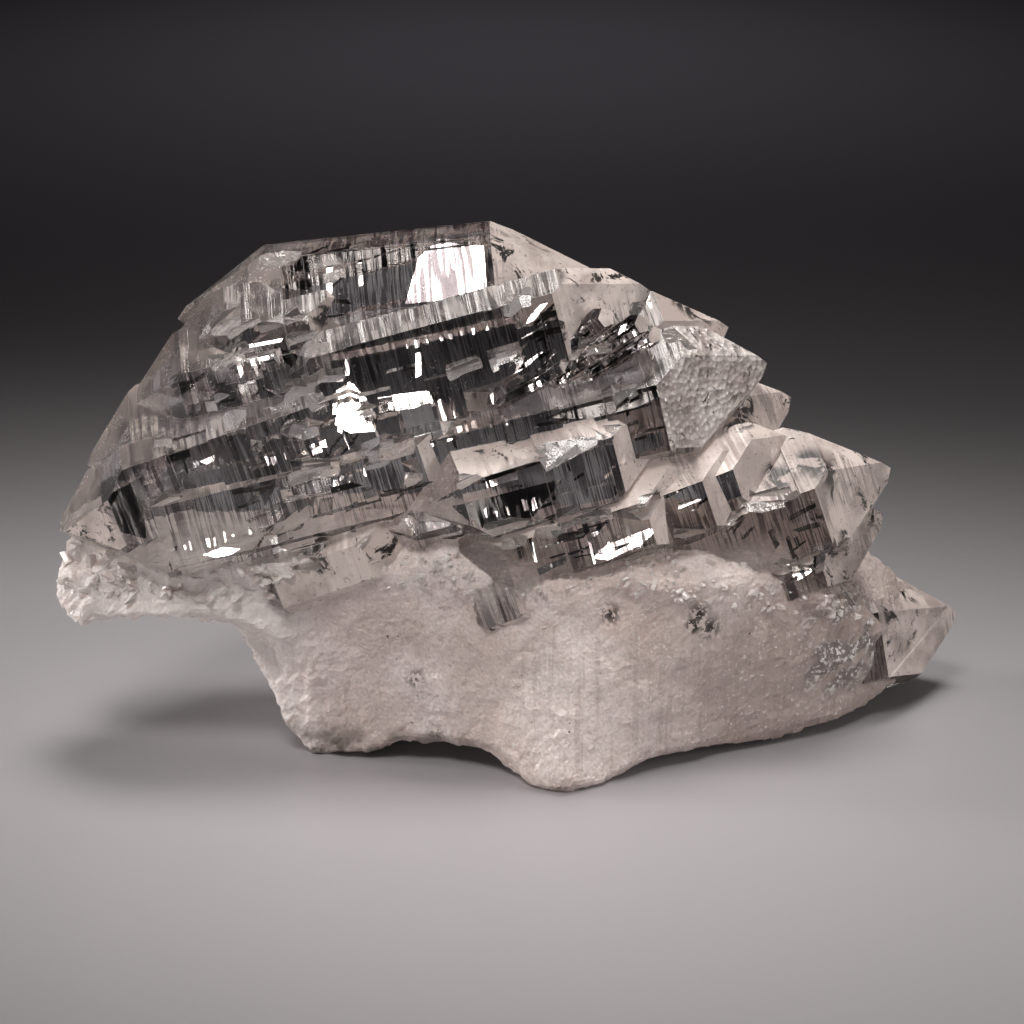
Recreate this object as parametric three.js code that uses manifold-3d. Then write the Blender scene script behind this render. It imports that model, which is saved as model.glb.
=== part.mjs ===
// Quartz specimen: clear hexagonal crystals stacked in a twisted fan on a milky root.
// Millimetres, +Z up, X along the specimen, -Y towards the show side. One grown piece.
import * as THREE from 'three'
import { ConvexGeometry } from 'three/addons/geometries/ConvexGeometry.js'
import { mergeVertices } from 'three/addons/utils/BufferGeometryUtils.js'
import Module from 'manifold-3d'

const wasm = await Module()
wasm.setup()

// Angle in degrees between the long axis and the normal of a quartz termination face
const TERMINATION_TILT = 51.8
// The lesser three termination faces sit a little further out than the greater three
const LESSER_FACE_LAG = 0.6
// Corner points closer than this are one corner
const SAME_POINT = 1e-4
// Corners of one crystal this close together are drawn as one
const SAME_CORNER = 0.02
// Three faces whose normals enclose less than this meet nowhere
const NEARLY_PARALLEL = 1e-6
// The underside is levelled here, which gives the feet their flats
const REST_LEVEL = 0
const GROUND_SPAN = 200

// Growth steps stand proud on the front faces only: front, upper front and lower front
const STEPPED_SIDES = [0, 1, 5]
// How far the broken rock wanders off its sections
const ROOT_ROUGHNESS = 0.75
const LEDGE_ROUGHNESS = 0.6
// How far the rock rises along its middle, up into the crystals that grow on it
const CROWNING = 4
// Points this near the underside are not moved up or down
const LEVEL_BAND = 1
// Stride and stretch of the wave that the unevenness is read from
const WAVE_STRIDE = 12.9898
const WAVE_STRETCH = 43758.5453

const FRONT = new THREE.Vector3(0, -1, 0)

// Turns a closed triangle geometry into a solid that can be joined and cut
function solidOf(geometry) {
  const bare = geometry.clone()
  bare.deleteAttribute('normal')
  bare.deleteAttribute('uv')
  const merged = mergeVertices(bare, SAME_POINT)
  return new wasm.Manifold(new wasm.Mesh({
    numProp: 3,
    vertProperties: new Float32Array(merged.getAttribute('position').array),
    triVerts: new Uint32Array(merged.getIndex().array)
  }))
}

// Corners of the convex body that a set of planes encloses
function cornersInside(planes) {
  const corners = []
  for (let i = 0; i < planes.length; i++) {
    for (let j = i + 1; j < planes.length; j++) {
      for (let k = j + 1; k < planes.length; k++) {
        const [a, b, c] = [planes[i], planes[j], planes[k]]
        const bc = new THREE.Vector3().crossVectors(b.normal, c.normal)
        const det = a.normal.dot(bc)
        if (Math.abs(det) < NEARLY_PARALLEL) continue
        const point = bc.multiplyScalar(a.reach)
          .addScaledVector(new THREE.Vector3().crossVectors(c.normal, a.normal), b.reach)
          .addScaledVector(new THREE.Vector3().crossVectors(a.normal, b.normal), c.reach)
          .divideScalar(det)
        if (planes.some(p => p.normal.dot(point) > p.reach + SAME_POINT)) continue
        if (corners.some(q => q.distanceTo(point) < SAME_CORNER)) continue
        corners.push(point)
      }
    }
  }
  return corners
}

// One crystal, from its left tip to its right tip. The six widths run from the axis to the
// prism faces: front, upper front, upper back, back, lower back, lower front. A step is a
// shorter slab of the same crystal: where it starts and ends along it, and how proud it is.
function crystal({ left, right, widths, roll = 0, tilt = TERMINATION_TILT, steps = [] }) {
  const start = new THREE.Vector3(...left)
  const end = new THREE.Vector3(...right)
  const axis = end.clone().sub(start).normalize()
  const front = FRONT.clone().addScaledVector(axis, -FRONT.dot(axis)).normalize()
  front.applyAxisAngle(axis, -THREE.MathUtils.degToRad(roll))
  const sides = widths.map((width, k) => front.clone().applyAxisAngle(axis, -k * Math.PI / 3))
  const slant = THREE.MathUtils.degToRad(tilt)
  const planesOf = proud => sides.flatMap((side, k) => {
    const growth = STEPPED_SIDES.includes(k) ? proud : -proud
    const prism = { normal: side, reach: side.dot(start) + widths[k] + growth }
    const ends = [[end, 1, 0], [start, -1, 1]].map(([tip, way, greater]) => {
      const normal = axis.clone().multiplyScalar(way * Math.cos(slant))
        .addScaledVector(side, Math.sin(slant))
      const lag = k % 2 === greater ? 0 : LESSER_FACE_LAG
      return { normal, reach: normal.dot(tip) + lag + growth }
    })
    return [prism, ...ends]
  })
  const slabs = steps.map(([from, to, proud]) => {
    const first = start.clone().lerp(end, from)
    const last = start.clone().lerp(end, to)
    return [
      ...planesOf(proud),
      { normal: axis, reach: axis.dot(last) },
      { normal: axis.clone().negate(), reach: -axis.dot(first) }
    ]
  })
  return [planesOf(0), ...slabs].map(planes => new ConvexGeometry(cornersInside(planes)))
}

// Uneven but repeatable offset for one corner of the rough rock, between -1 and 1
function unevenness(seed) {
  const wave = Math.sin(seed * WAVE_STRIDE) * WAVE_STRETCH
  return 2 * (wave - Math.floor(wave)) - 1
}

// Rough rock drawn through upright sections along X. Each section gives its front foot, front
// brow and back in Y, and its front underside, back underside and top in Z.
function roughRock(sections, roughness, seed) {
  const corners = []
  const faces = []
  sections.forEach(([x, foot, brow, back, lowFront, lowBack, top], i) => {
    const lean = part => foot + (brow - foot) * part
    const rise = part => lowFront + (top - lowFront) * part
    const shoulder = Math.min(4, 0.3 * (top - lowBack))
    const heel = Math.min(3, 0.25 * (top - lowBack))
    const ring = [
      [foot + 1.2, lowFront], [foot, lowFront + heel / 2], [lean(0.3), rise(0.3)], [lean(0.6), rise(0.5)],
      [lean(0.85), rise(0.72)], [brow, rise(0.9)], [brow + 3, top], [(brow + back) / 2, top + CROWNING],
      [back - 3, top], [back, top - shoulder], [back + 0.6, (top + lowBack) / 2], [back - 0.8, lowBack + heel],
      [back - 3.4, lowBack], [back * 0.6 + foot * 0.4, lowBack + 0.3], [back * 0.25 + foot * 0.75, lowFront + 0.8]
    ]
    ring.forEach(([y, z], j) => {
      const n = seed + i * 31.7 + j * 7.3
      corners.push(
        x + 0.8 * roughness * unevenness(n),
        y + roughness * unevenness(n + 0.37),
        z + (z - lowFront > LEVEL_BAND ? roughness * unevenness(n + 0.71) : 0)
      )
    })
  })
  const round = corners.length / 3 / sections.length
  for (let i = 0; i + 1 < sections.length; i++) {
    for (let j = 0; j < round; j++) {
      const [p, q] = [i * round + j, i * round + (j + 1) % round]
      faces.push(p, p + round, q, q, p + round, q + round)
    }
  }
  for (const [ring, flip] of [[0, false], [sections.length - 1, true]]) {
    const centre = corners.length / 3
    const middle = [0, 1, 2].map(k => {
      let sum = 0
      for (let j = 0; j < round; j++) sum += corners[(ring * round + j) * 3 + k]
      return sum / round
    })
    corners.push(...middle)
    for (let j = 0; j < round; j++) {
      const [p, q] = [ring * round + j, ring * round + (j + 1) % round]
      faces.push(...(flip ? [centre, q, p] : [centre, p, q]))
    }
  }
  const rock = new THREE.BufferGeometry()
  rock.setAttribute('position', new THREE.Float32BufferAttribute(corners, 3))
  rock.setIndex(faces)
  return rock
}

// One nodule or block: the convex skin of a few corner points
function lump(points) {
  return new ConvexGeometry(points.map(p => new THREE.Vector3(...p)))
}

// The clear crystals, from the crown down: tip to tip, then the six widths
const CLEAR_CRYSTALS = [
  // Crown, its long right termination and the broken peaks behind it
  { left: [-37.5, 4.2, 49.7], right: [10.8, 4.8, 54.8], widths: [7, 7.6, 6.9, 6, 8, 8], tilt: 60, roll: -30,
    steps: [[0.57, 0.725, 0.3]] },
  { left: [-31, 0, 41], right: [16.5, 2.5, 53.4], widths: [8.5, 8.3, 3, 8, 7, 7],
    steps: [[0.3, 0.62, 0.4], [0.66, 0.74, 0.3]] },
  { left: [-12, 4, 39.5], right: [26, 9, 47.5], widths: [8, 6, 5.5, 7, 7, 7], tilt: 57,
    steps: [[0.5, 0.7, 0.4]] },
  // Upper left shoulder
  { left: [-38.5, 2, 46.3], right: [-12, 2, 51.5], widths: [7.5, 6.4, 5, 7, 6, 6], steps: [[0.4, 0.55, 0.3]] },
  { left: [-42.6, 0, 41], right: [-17, 0, 47.2], widths: [6.2, 6, 6, 7, 6, 4.5] },
  { left: [-31, -3, 44], right: [-17, -1, 48], widths: [4.2, 3.6, 3.4, 4, 4, 4], roll: 6 },
  { left: [-45, -0.5, 37.5], right: [-14, -1, 45.5], widths: [6.8, 4.9, 6, 8, 6, 6] },
  { left: [-48, 0, 33.5], right: [-10, 0, 44], widths: [7.4, 5.6, 7, 9, 6, 6], steps: [[0.3, 0.5, 0.3]] },
  // Middle windows
  { left: [-25, -1, 40], right: [4, 1, 47], widths: [7.6, 5.6, 5, 6, 6, 6], roll: -4,
    steps: [[0.3, 0.42, 0.5], [0.55, 0.68, 0.4]] },
  { left: [-19, -2, 36.5], right: [1, 0, 41.5], widths: [7, 6, 5, 6, 5, 6], roll: 8 },
  // The long middle crystal that runs out to the blunt third tip
  { left: [-50.8, -1, 25.5], right: [30.3, 6, 44], widths: [11, 8.6, 5, 12, 9, 8.8],
    steps: [[0.62, 0.7, 0.5], [0.76, 0.84, 0.4]] },
  // Front left block and the band under it
  { left: [-51.2, -3, 26.6], right: [-6, -1, 42], widths: [7, 8.6, 5, 8, 6, 5.6],
    steps: [[0.2, 0.34, 0.35], [0.44, 0.6, 0.45]] },
  { left: [-36, -3, 28], right: [0, -2, 38], widths: [7.3, 5.9, 5.5, 6, 5, 5.1], roll: 5,
    steps: [[0.35, 0.6, 0.35]] },
  { left: [-43, -2, 23.6], right: [-14, -2, 31.5], widths: [6.5, 5, 5, 6, 5, 5], roll: -5 },
  { left: [-31, -6, 25.4], right: [-24, -5.4, 28.6], widths: [2.6, 2.4, 2.4, 2, 2, 2.4], roll: 12 },
  // Centre front, with its left termination showing, and the cream ledges under it
  { left: [-11, -8.6, 30.8], right: [18, -2.5, 38.4], widths: [5.4, 5, 5, 6, 6, 6.4],
    steps: [[0.5, 0.74, 0.4]] },
  { left: [-9, -6, 23.6], right: [24, -1, 33], widths: [7.5, 5.1, 6, 6, 6, 7] },
  { left: [3, -3, 24.6], right: [31, 3, 33.5], widths: [8, 5.7, 6, 6, 6, 7], roll: 6 },
  { left: [12, 0, 27.6], right: [33.5, 4, 35.2], widths: [7, 5, 6, 6, 6, 6] },
  { left: [-14, -6.4, 27.6], right: [2, -6, 31.4], widths: [4.4, 3.4, 3, 5, 4.4, 3], roll: 14 },
  // Fourth, fifth and sixth tips
  { left: [6, 7, 28], right: [33.8, 12, 38.2], widths: [6, 5, 5, 6, 5, 5] },
  { left: [-5, 0, 14.5], right: [45, 5, 31.6], widths: [8, 6.9, 8.2, 9, 8, 7.2],
    steps: [[0.66, 0.74, 0.35], [0.78, 0.86, 0.4]] },
  { left: [22, 2, 18], right: [44.5, 6, 25.6], widths: [8, 5, 6, 6, 6, 6], roll: -6 },
  { left: [20, 8.5, 2.5], right: [55.5, 17, 9.3], widths: [10, 10.8, 9, 7, 5, 6.5] },
  // Faces that show through the top of the milky root
  { left: [-31, -3, 18.6], right: [-8, -5, 27.6], widths: [5.8, 4.4, 4, 4, 4, 5], roll: 10 },
  { left: [-8, -6, 17], right: [8, -6.6, 23], widths: [5.4, 4.4, 4, 4, 4, 5], roll: 14 },
  // Back of the stack
  { left: [-41, 11, 34], right: [17, 15, 45.5], widths: [9, 8, 8, 7.5, 8, 8],
    steps: [[0.3, 0.5, 0.4]] },
  { left: [-46, 9, 24], right: [22, 15, 35], widths: [9, 8, 8, 8, 8, 8] },
  { left: [-30, 11, 43], right: [6, 13, 51], widths: [8, 6.4, 6, 6.5, 7, 7] },
  { left: [-20, 14, 16], right: [38, 17, 27.5], widths: [9, 8, 8, 7, 8, 8] },
  { left: [-34, 15, 30], right: [-2, 17, 37.5], widths: [5, 5, 4.5, 5.4, 4.5, 5] },
  { left: [-14, 16, 24], right: [24, 18, 33], widths: [5, 5, 4.5, 5, 4.5, 5] }
]

// Thin broken blades that cross the shattered patch under the crown's tip
const BLADES = [
  { left: [1, -6.2, 44.2], right: [12, -3.5, 52.6], widths: [1.5, 1.3, 1.3, 2, 1.3, 1.3] },
  { left: [4.5, -6, 44.6], right: [16, -3, 51.6], widths: [1.4, 1.2, 1.2, 2, 1.2, 1.2] },
  { left: [8, -5.4, 45.4], right: [17.5, -2.6, 50.2], widths: [1.6, 1.1, 1.1, 2, 1.1, 1.1] },
  { left: [-2, -7, 42.6], right: [7.5, -5.6, 47.4], widths: [1.3, 1.1, 1.1, 2, 1.1, 1.1] }
]

// Milky root, left to right: x, front foot, front brow, back, front underside, back underside, top
const ROOT_SECTIONS = [
  [-31.6, -3.4, -5, 6, 15.6, 16, 22],
  [-28, -4.8, -6.4, 10, 8.4, 10, 24],
  [-25.4, -5.4, -7.4, 13, 3, 6, 25.6],
  [-22, -6.4, -8.4, 13.6, -0.5, 0.6, 26.4],
  [-17.6, -6.8, -9.2, 14.6, -0.4, -0.6, 26.8],
  [-12.6, -7.8, -9.8, 16.6, 1.6, 1.2, 27],
  [-7, -9.2, -10.6, 18, 2.2, 4.4, 27],
  [-1.6, -12, -11.4, 18.6, 2, 4.6, 26.6],
  [3, -16, -11.6, 19, -0.4, 4, 26],
  [7, -17.6, -11.4, 19.6, -0.6, 3, 25.4],
  [11, -15.6, -11, 20, -0.3, 1.6, 25.4],
  [16, -12, -10.2, 20.6, 1.2, 0.6, 25],
  [21.6, -9.2, -8.8, 20.8, 1.3, -0.5, 24.6],
  [27, -6.4, -7.2, 20.8, 0.7, -0.6, 24],
  [32.4, -3.6, -5, 20.6, 0.5, -0.4, 22.6],
  [37.6, -0.4, -2.6, 20.4, 0.8, 1, 20],
  [42.4, 3.4, 1.6, 20, 1.5, 2, 16.4],
  [46.6, 7.4, 6, 19.6, 2.6, 3.2, 13],
  [50.6, 12, 11, 17.6, 4.2, 4.8, 9.6]
]

// Frosted ledge that reaches out to the left, in the same form
const LEDGE_SECTIONS = [
  [-51.6, -4.2, -4, -0.6, 17.2, 17.4, 20.4],
  [-50.2, -5.4, -4.6, 3, 15.7, 16.4, 22.6],
  [-47, -6.6, -5, 6, 16, 16.4, 23.8],
  [-42.6, -7.6, -6, 8, 17, 16.6, 24.4],
  [-38, -8, -7, 9, 17.2, 16.4, 25],
  [-33, -8.2, -7.8, 9.6, 16.8, 15.8, 25.4],
  [-28, -8.2, -8.6, 10, 15, 14, 25.6],
  [-22, -8, -9, 10, 13, 13, 26]
]

// Small nodules that grew along the ledge's lower edge
const NODULES = [
  [[-36, -6, 16.4], [-34.4, -6.4, 15.6], [-33.4, -5.4, 16.4], [-34, -7.2, 18.4], [-37, -6, 18.6], [-34, -2, 18]],
  [[-39.6, -7, 16.8], [-38.2, -7, 16.6], [-37.4, -6, 18.6], [-41, -6, 18.6], [-39, -8.4, 18.8], [-39, -3, 18]],
  [[-43.4, -6.6, 16.8], [-42, -7, 16.2], [-41.4, -6, 18.2], [-44.6, -5.6, 18], [-42.6, -8, 18.4], [-43, -3, 18]],
  [[-52, -3.6, 19.6], [-52.4, -2.4, 18], [-50.6, -4.8, 19.4], [-50, -2, 16.6], [-49, -5, 18], [-49, 0, 20]],
  [[-49.6, -5.6, 16.2], [-48.4, -6, 15.2], [-47, -5.6, 16.4], [-48.4, -7, 18.4], [-50, -3, 18], [-46.6, -3, 18.4]]
]

// Chips broken out of the stack: middle, then half sizes. Shell-like ones are rounder.
const CHIPS = [
  { at: [-26.5, 0, 59.6], size: [4.6, 3.8, 2.6], rounder: true },
  { at: [-31, -1.5, 56.4], size: [3.2, 2.8, 1.8], rounder: true },
  { at: [-22, -9.6, 41.4], size: [2.2, 2.6, 1.5], spin: 20 },
  { at: [-15.6, -10.2, 43.6], size: [3.2, 2.8, 1.6], spin: 14 },
  { at: [-9.6, -11, 37.6], size: [2, 2.8, 2.6], spin: -30 },
  { at: [2, -9.4, 48.6], size: [2.6, 2.4, 1.6], spin: 25 },
  { at: [14.6, -10.2, 35.6], size: [2.4, 2.4, 1.4], spin: 35 },
  { at: [31, -5.8, 32.6], size: [2.2, 2.2, 1.6], spin: 10 },
  { at: [44.4, 0, 27.6], size: [1.4, 2, 2.4], spin: -15 },
  { at: [-38, -10.4, 33], size: [2, 2.2, 1.2], spin: 18 },
  { at: [21, -7.4, 42.4], size: [1.8, 2.4, 1.4], spin: 30 },
  { at: [-47, -8.6, 20.6], size: [2.2, 2, 1.4], spin: 0 },
  { at: [5, 21, 40], size: [3, 3, 2.4], spin: 12 },
  { at: [-24, 19.6, 39], size: [3.4, 2.6, 2], spin: -20 }
]

const bodies = [...CLEAR_CRYSTALS, ...BLADES].flatMap(crystal)
bodies.push(roughRock(ROOT_SECTIONS, ROOT_ROUGHNESS, 3))
bodies.push(roughRock(LEDGE_SECTIONS, LEDGE_ROUGHNESS, 71))
bodies.push(...NODULES.map(lump))
let whole = bodies.map(solidOf).reduce((joined, body) => joined.add(body))
for (const { at, size, spin = 0, rounder = false } of CHIPS) {
  const chip = rounder ? new THREE.IcosahedronGeometry(1, 1) : new THREE.OctahedronGeometry(1, 0)
  chip.scale(...size)
  chip.rotateY(-THREE.MathUtils.degToRad(spin))
  chip.translate(...at)
  whole = whole.subtract(solidOf(chip))
}

// Cut the feet level so that they stand on flats
const ground = new THREE.BoxGeometry(GROUND_SPAN, GROUND_SPAN, GROUND_SPAN)
ground.translate(0, 0, REST_LEVEL - GROUND_SPAN / 2)
whole = whole.subtract(solidOf(ground))

// Back to a plain geometry
function geometryOf(solid) {
  const mesh = solid.getMesh()
  const geometry = new THREE.BufferGeometry()
  geometry.setAttribute('position', new THREE.BufferAttribute(mesh.vertProperties, 3))
  geometry.setIndex(new THREE.BufferAttribute(mesh.triVerts, 1))
  return geometry
}

// The origin is on the ground under the middle of the specimen
const shape = geometryOf(whole)
shape.computeBoundingBox()
const middle = shape.boundingBox.getCenter(new THREE.Vector3())

const quartz = new THREE.Mesh(
  shape,
  new THREE.MeshStandardMaterial({ color: 0xcbb9ad, roughness: 0.25, metalness: 0 })
)
quartz.name = 'quartz_crystal'
quartz.position.set(-middle.x, -middle.y, 0)

const specimen = new THREE.Group()
specimen.add(quartz)
export default specimen
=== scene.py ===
import math
import random

import bmesh
import bpy
from mathutils import Matrix, Quaternion, Vector, noise
from mathutils.bvhtree import BVHTree


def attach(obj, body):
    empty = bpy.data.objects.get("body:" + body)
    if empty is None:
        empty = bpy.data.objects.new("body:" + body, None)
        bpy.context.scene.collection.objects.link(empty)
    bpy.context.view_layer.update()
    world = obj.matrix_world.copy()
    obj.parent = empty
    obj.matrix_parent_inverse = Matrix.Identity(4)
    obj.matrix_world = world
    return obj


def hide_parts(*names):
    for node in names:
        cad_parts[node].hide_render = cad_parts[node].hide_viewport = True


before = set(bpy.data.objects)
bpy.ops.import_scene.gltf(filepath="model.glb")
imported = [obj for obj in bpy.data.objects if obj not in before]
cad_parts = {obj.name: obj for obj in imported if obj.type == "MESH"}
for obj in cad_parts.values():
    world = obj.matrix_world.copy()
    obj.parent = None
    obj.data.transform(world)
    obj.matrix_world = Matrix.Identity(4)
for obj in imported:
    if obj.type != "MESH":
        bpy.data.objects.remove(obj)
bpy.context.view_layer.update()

MM = 0.001

# Clear crystals
# Quartz that grew as long six-sided crystals lying side by side, each turned a little from its
# neighbour. Prism faces carry fine growth lines across their length; both ends are pointed.
# Sizes are in millimetres, in the specimen's growing frame; GROWING_FRAME moves them to the middle.
GROWING_FRAME = Vector((-1.55, -2.761, 0)) * MM
TERMINATION_TILT = 51.8
LESSER_FACE_LAG = 0.6
RING_SPACING = 0.5
LINE_RELIEF = 0.04
STEPPED_SIDES = (0, 1, 5)
PRISM, POINT, BREAK, SPECKLED, SPARKLING, LEDGE = 0, 1, 2, 3, 4, 5

# Tip to tip, six widths from the axis (front, upper front, upper back, back, lower back,
# lower front), roll, tilt, and growth steps: from, to, and how proud
CROWN = dict(left=(-37.5, 4.2, 49.7), right=(10.8, 4.8, 54.8), widths=(7, 7.6, 6.9, 6, 8, 8), tilt=60,
             roll=-30, steps=((0.57, 0.725, 0.3),), frosted=())
CLEAR_CRYSTALS = (
    dict(left=(-31, 0, 41), right=(16.5, 2.5, 53.4), widths=(8.5, 8.3, 3, 8, 7, 7),
         steps=((0.3, 0.62, 0.4), (0.66, 0.74, 0.3))),
    dict(left=(-12, 4, 39.5), right=(26, 9, 47.5), widths=(8, 6, 5.5, 7, 7, 7), tilt=57,
         steps=((0.5, 0.7, 0.4),)),
    # Upper left shoulder
    dict(left=(-38.5, 2, 46.3), right=(-12, 2, 51.5), widths=(7.5, 6.4, 5, 7, 6, 6), steps=((0.4, 0.55, 0.3),)),
    dict(left=(-42.6, 0, 41), right=(-17, 0, 47.2), widths=(6.2, 6, 6, 7, 6, 4.5)),
    dict(left=(-31, -3, 44), right=(-17, -1, 48), widths=(4.2, 3.6, 3.4, 4, 4, 4), roll=6),
    dict(left=(-45, -0.5, 37.5), right=(-14, -1, 45.5), widths=(6.8, 4.9, 6, 8, 6, 6)),
    dict(left=(-48, 0, 33.5), right=(-10, 0, 44), widths=(7.4, 5.6, 7, 9, 6, 6), steps=((0.3, 0.5, 0.3),)),
    # Middle windows
    dict(left=(-25, -1, 40), right=(4, 1, 47), widths=(7.6, 5.6, 5, 6, 6, 6), roll=-4,
         steps=((0.3, 0.42, 0.5), (0.55, 0.68, 0.4))),
    dict(left=(-19, -2, 36.5), right=(1, 0, 41.5), widths=(7, 6, 5, 6, 5, 6), roll=8),
    # The long middle crystal that runs out to the blunt third tip
    dict(left=(-50.8, -1, 25.5), right=(30.3, 6, 44), widths=(11, 8.6, 5, 12, 9, 8.8), points=SPARKLING,
         steps=((0.62, 0.7, 0.5), (0.76, 0.84, 0.4))),
    # Front left block and the band under it
    dict(left=(-51.2, -3, 26.6), right=(-6, -1, 42), widths=(7, 8.6, 5, 8, 6, 5.6), creamy=(0, 5),
         steps=((0.2, 0.34, 0.35), (0.44, 0.6, 0.45))),
    dict(left=(-36, -3, 28), right=(0, -2, 38), widths=(7.3, 5.9, 5.5, 6, 5, 5.1), roll=5,
         steps=((0.35, 0.6, 0.35),)),
    dict(left=(-43, -2, 23.6), right=(-14, -2, 31.5), widths=(6.5, 5, 5, 6, 5, 5), roll=-5),
    dict(left=(-31, -6, 25.4), right=(-24, -5.4, 28.6), widths=(2.6, 2.4, 2.4, 2, 2, 2.4), roll=12),
    # Centre front, with its left termination showing, and the cream ledges under it
    dict(left=(-11, -8.6, 30.8), right=(18, -2.5, 38.4), widths=(5.4, 5, 5, 6, 6, 6.4), ledge=POINT,
         steps=((0.5, 0.74, 0.4),)),
    dict(left=(-9, -6, 23.6), right=(24, -1, 33), widths=(7.5, 5.1, 6, 6, 6, 7), ledge=POINT),
    dict(left=(3, -3, 24.6), right=(31, 3, 33.5), widths=(8, 5.7, 6, 6, 6, 7), roll=6, ledge=POINT),
    dict(left=(12, 0, 27.6), right=(33.5, 4, 35.2), widths=(7, 5, 6, 6, 6, 6), ledge=POINT),
    dict(left=(-14, -6.4, 27.6), right=(2, -6, 31.4), widths=(4.4, 3.4, 3, 5, 4.4, 3), roll=14, ledge=POINT),
    # Fourth, fifth and sixth tips
    dict(left=(6, 7, 28), right=(33.8, 12, 38.2), widths=(6, 5, 5, 6, 5, 5), frosted=()),
    dict(left=(-5, 0, 14.5), right=(45, 5, 31.6), widths=(8, 6.9, 8.2, 9, 8, 7.2), ledge=POINT,
         steps=((0.66, 0.74, 0.35), (0.78, 0.86, 0.4))),
    dict(left=(22, 2, 18), right=(44.5, 6, 25.6), widths=(8, 5, 6, 6, 6, 6), roll=-6, ledge=POINT),
    dict(left=(20, 8.5, 2.5), right=(55.5, 17, 9.3), widths=(10, 10.8, 9, 7, 5, 6.5), ledge=POINT),
    # Faces that show through the top of the milky root
    dict(left=(-31, -3, 18.6), right=(-8, -5, 27.6), widths=(5.8, 4.4, 4, 4, 4, 5), roll=10,
         frosted=(0, 1, 2, 5), ledge=POINT),
    dict(left=(-8, -6, 17), right=(8, -6.6, 23), widths=(5.4, 4.4, 4, 4, 4, 5), roll=14,
         frosted=(1, 2, 5), ledge=POINT),
    # Back of the stack
    dict(left=(-41, 11, 34), right=(17, 15, 45.5), widths=(9, 8, 8, 7.5, 8, 8), steps=((0.3, 0.5, 0.4),)),
    dict(left=(-46, 9, 24), right=(22, 15, 35), widths=(9, 8, 8, 8, 8, 8)),
    dict(left=(-30, 11, 43), right=(6, 13, 51), widths=(8, 6.4, 6, 6.5, 7, 7)),
    dict(left=(-20, 14, 16), right=(38, 17, 27.5), widths=(9, 8, 8, 7, 8, 8)),
    dict(left=(-34, 15, 30), right=(-2, 17, 37.5), widths=(5, 5, 4.5, 5.4, 4.5, 5)),
    dict(left=(-14, 16, 24), right=(24, 18, 33), widths=(5, 5, 4.5, 5, 4.5, 5)),
)
# Thin broken blades that cross the shattered patch under the crown's tip
BLADES = (
    dict(left=(1, -6.2, 44.2), right=(12, -3.5, 52.6), widths=(1.5, 1.3, 1.3, 2, 1.3, 1.3), frosted=()),
    dict(left=(4.5, -6, 44.6), right=(16, -3, 51.6), widths=(1.4, 1.2, 1.2, 2, 1.2, 1.2), frosted=()),
    dict(left=(8, -5.4, 45.4), right=(17.5, -2.6, 50.2), widths=(1.6, 1.1, 1.1, 2, 1.1, 1.1), frosted=()),
    dict(left=(-2, -7, 42.6), right=(7.5, -5.6, 47.4), widths=(1.3, 1.1, 1.1, 2, 1.1, 1.1), frosted=()),
)
growing = random.Random(11)


def select_only(piece):
    bpy.ops.object.select_all(action="DESELECT")
    piece.select_set(True)
    bpy.context.view_layer.objects.active = piece


def standing(left, right, roll):
    """Where a crystal starts and ends, its axis and its front direction."""
    start = Vector(left) * MM + GROWING_FRAME
    end = Vector(right) * MM + GROWING_FRAME
    axis = (end - start).normalized()
    front = Vector((0, -1, 0))
    front = (front - axis * front.dot(axis)).normalized()
    front.rotate(Quaternion(axis, -math.radians(roll)))
    return start, end, axis, front


def corner_reach(reach):
    """The six corners where one prism face meets the next, across the axis."""
    corners = []
    for k in range(6):
        a, b = -math.radians(60 * k), -math.radians(60 * (k + 1))
        following = reach[(k + 1) % 6]
        corners.append(Vector((reach[k] * math.sin(b) - following * math.sin(a),
                               following * math.cos(a) - reach[k] * math.cos(b))) / math.sin(b - a))
    return corners


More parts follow.
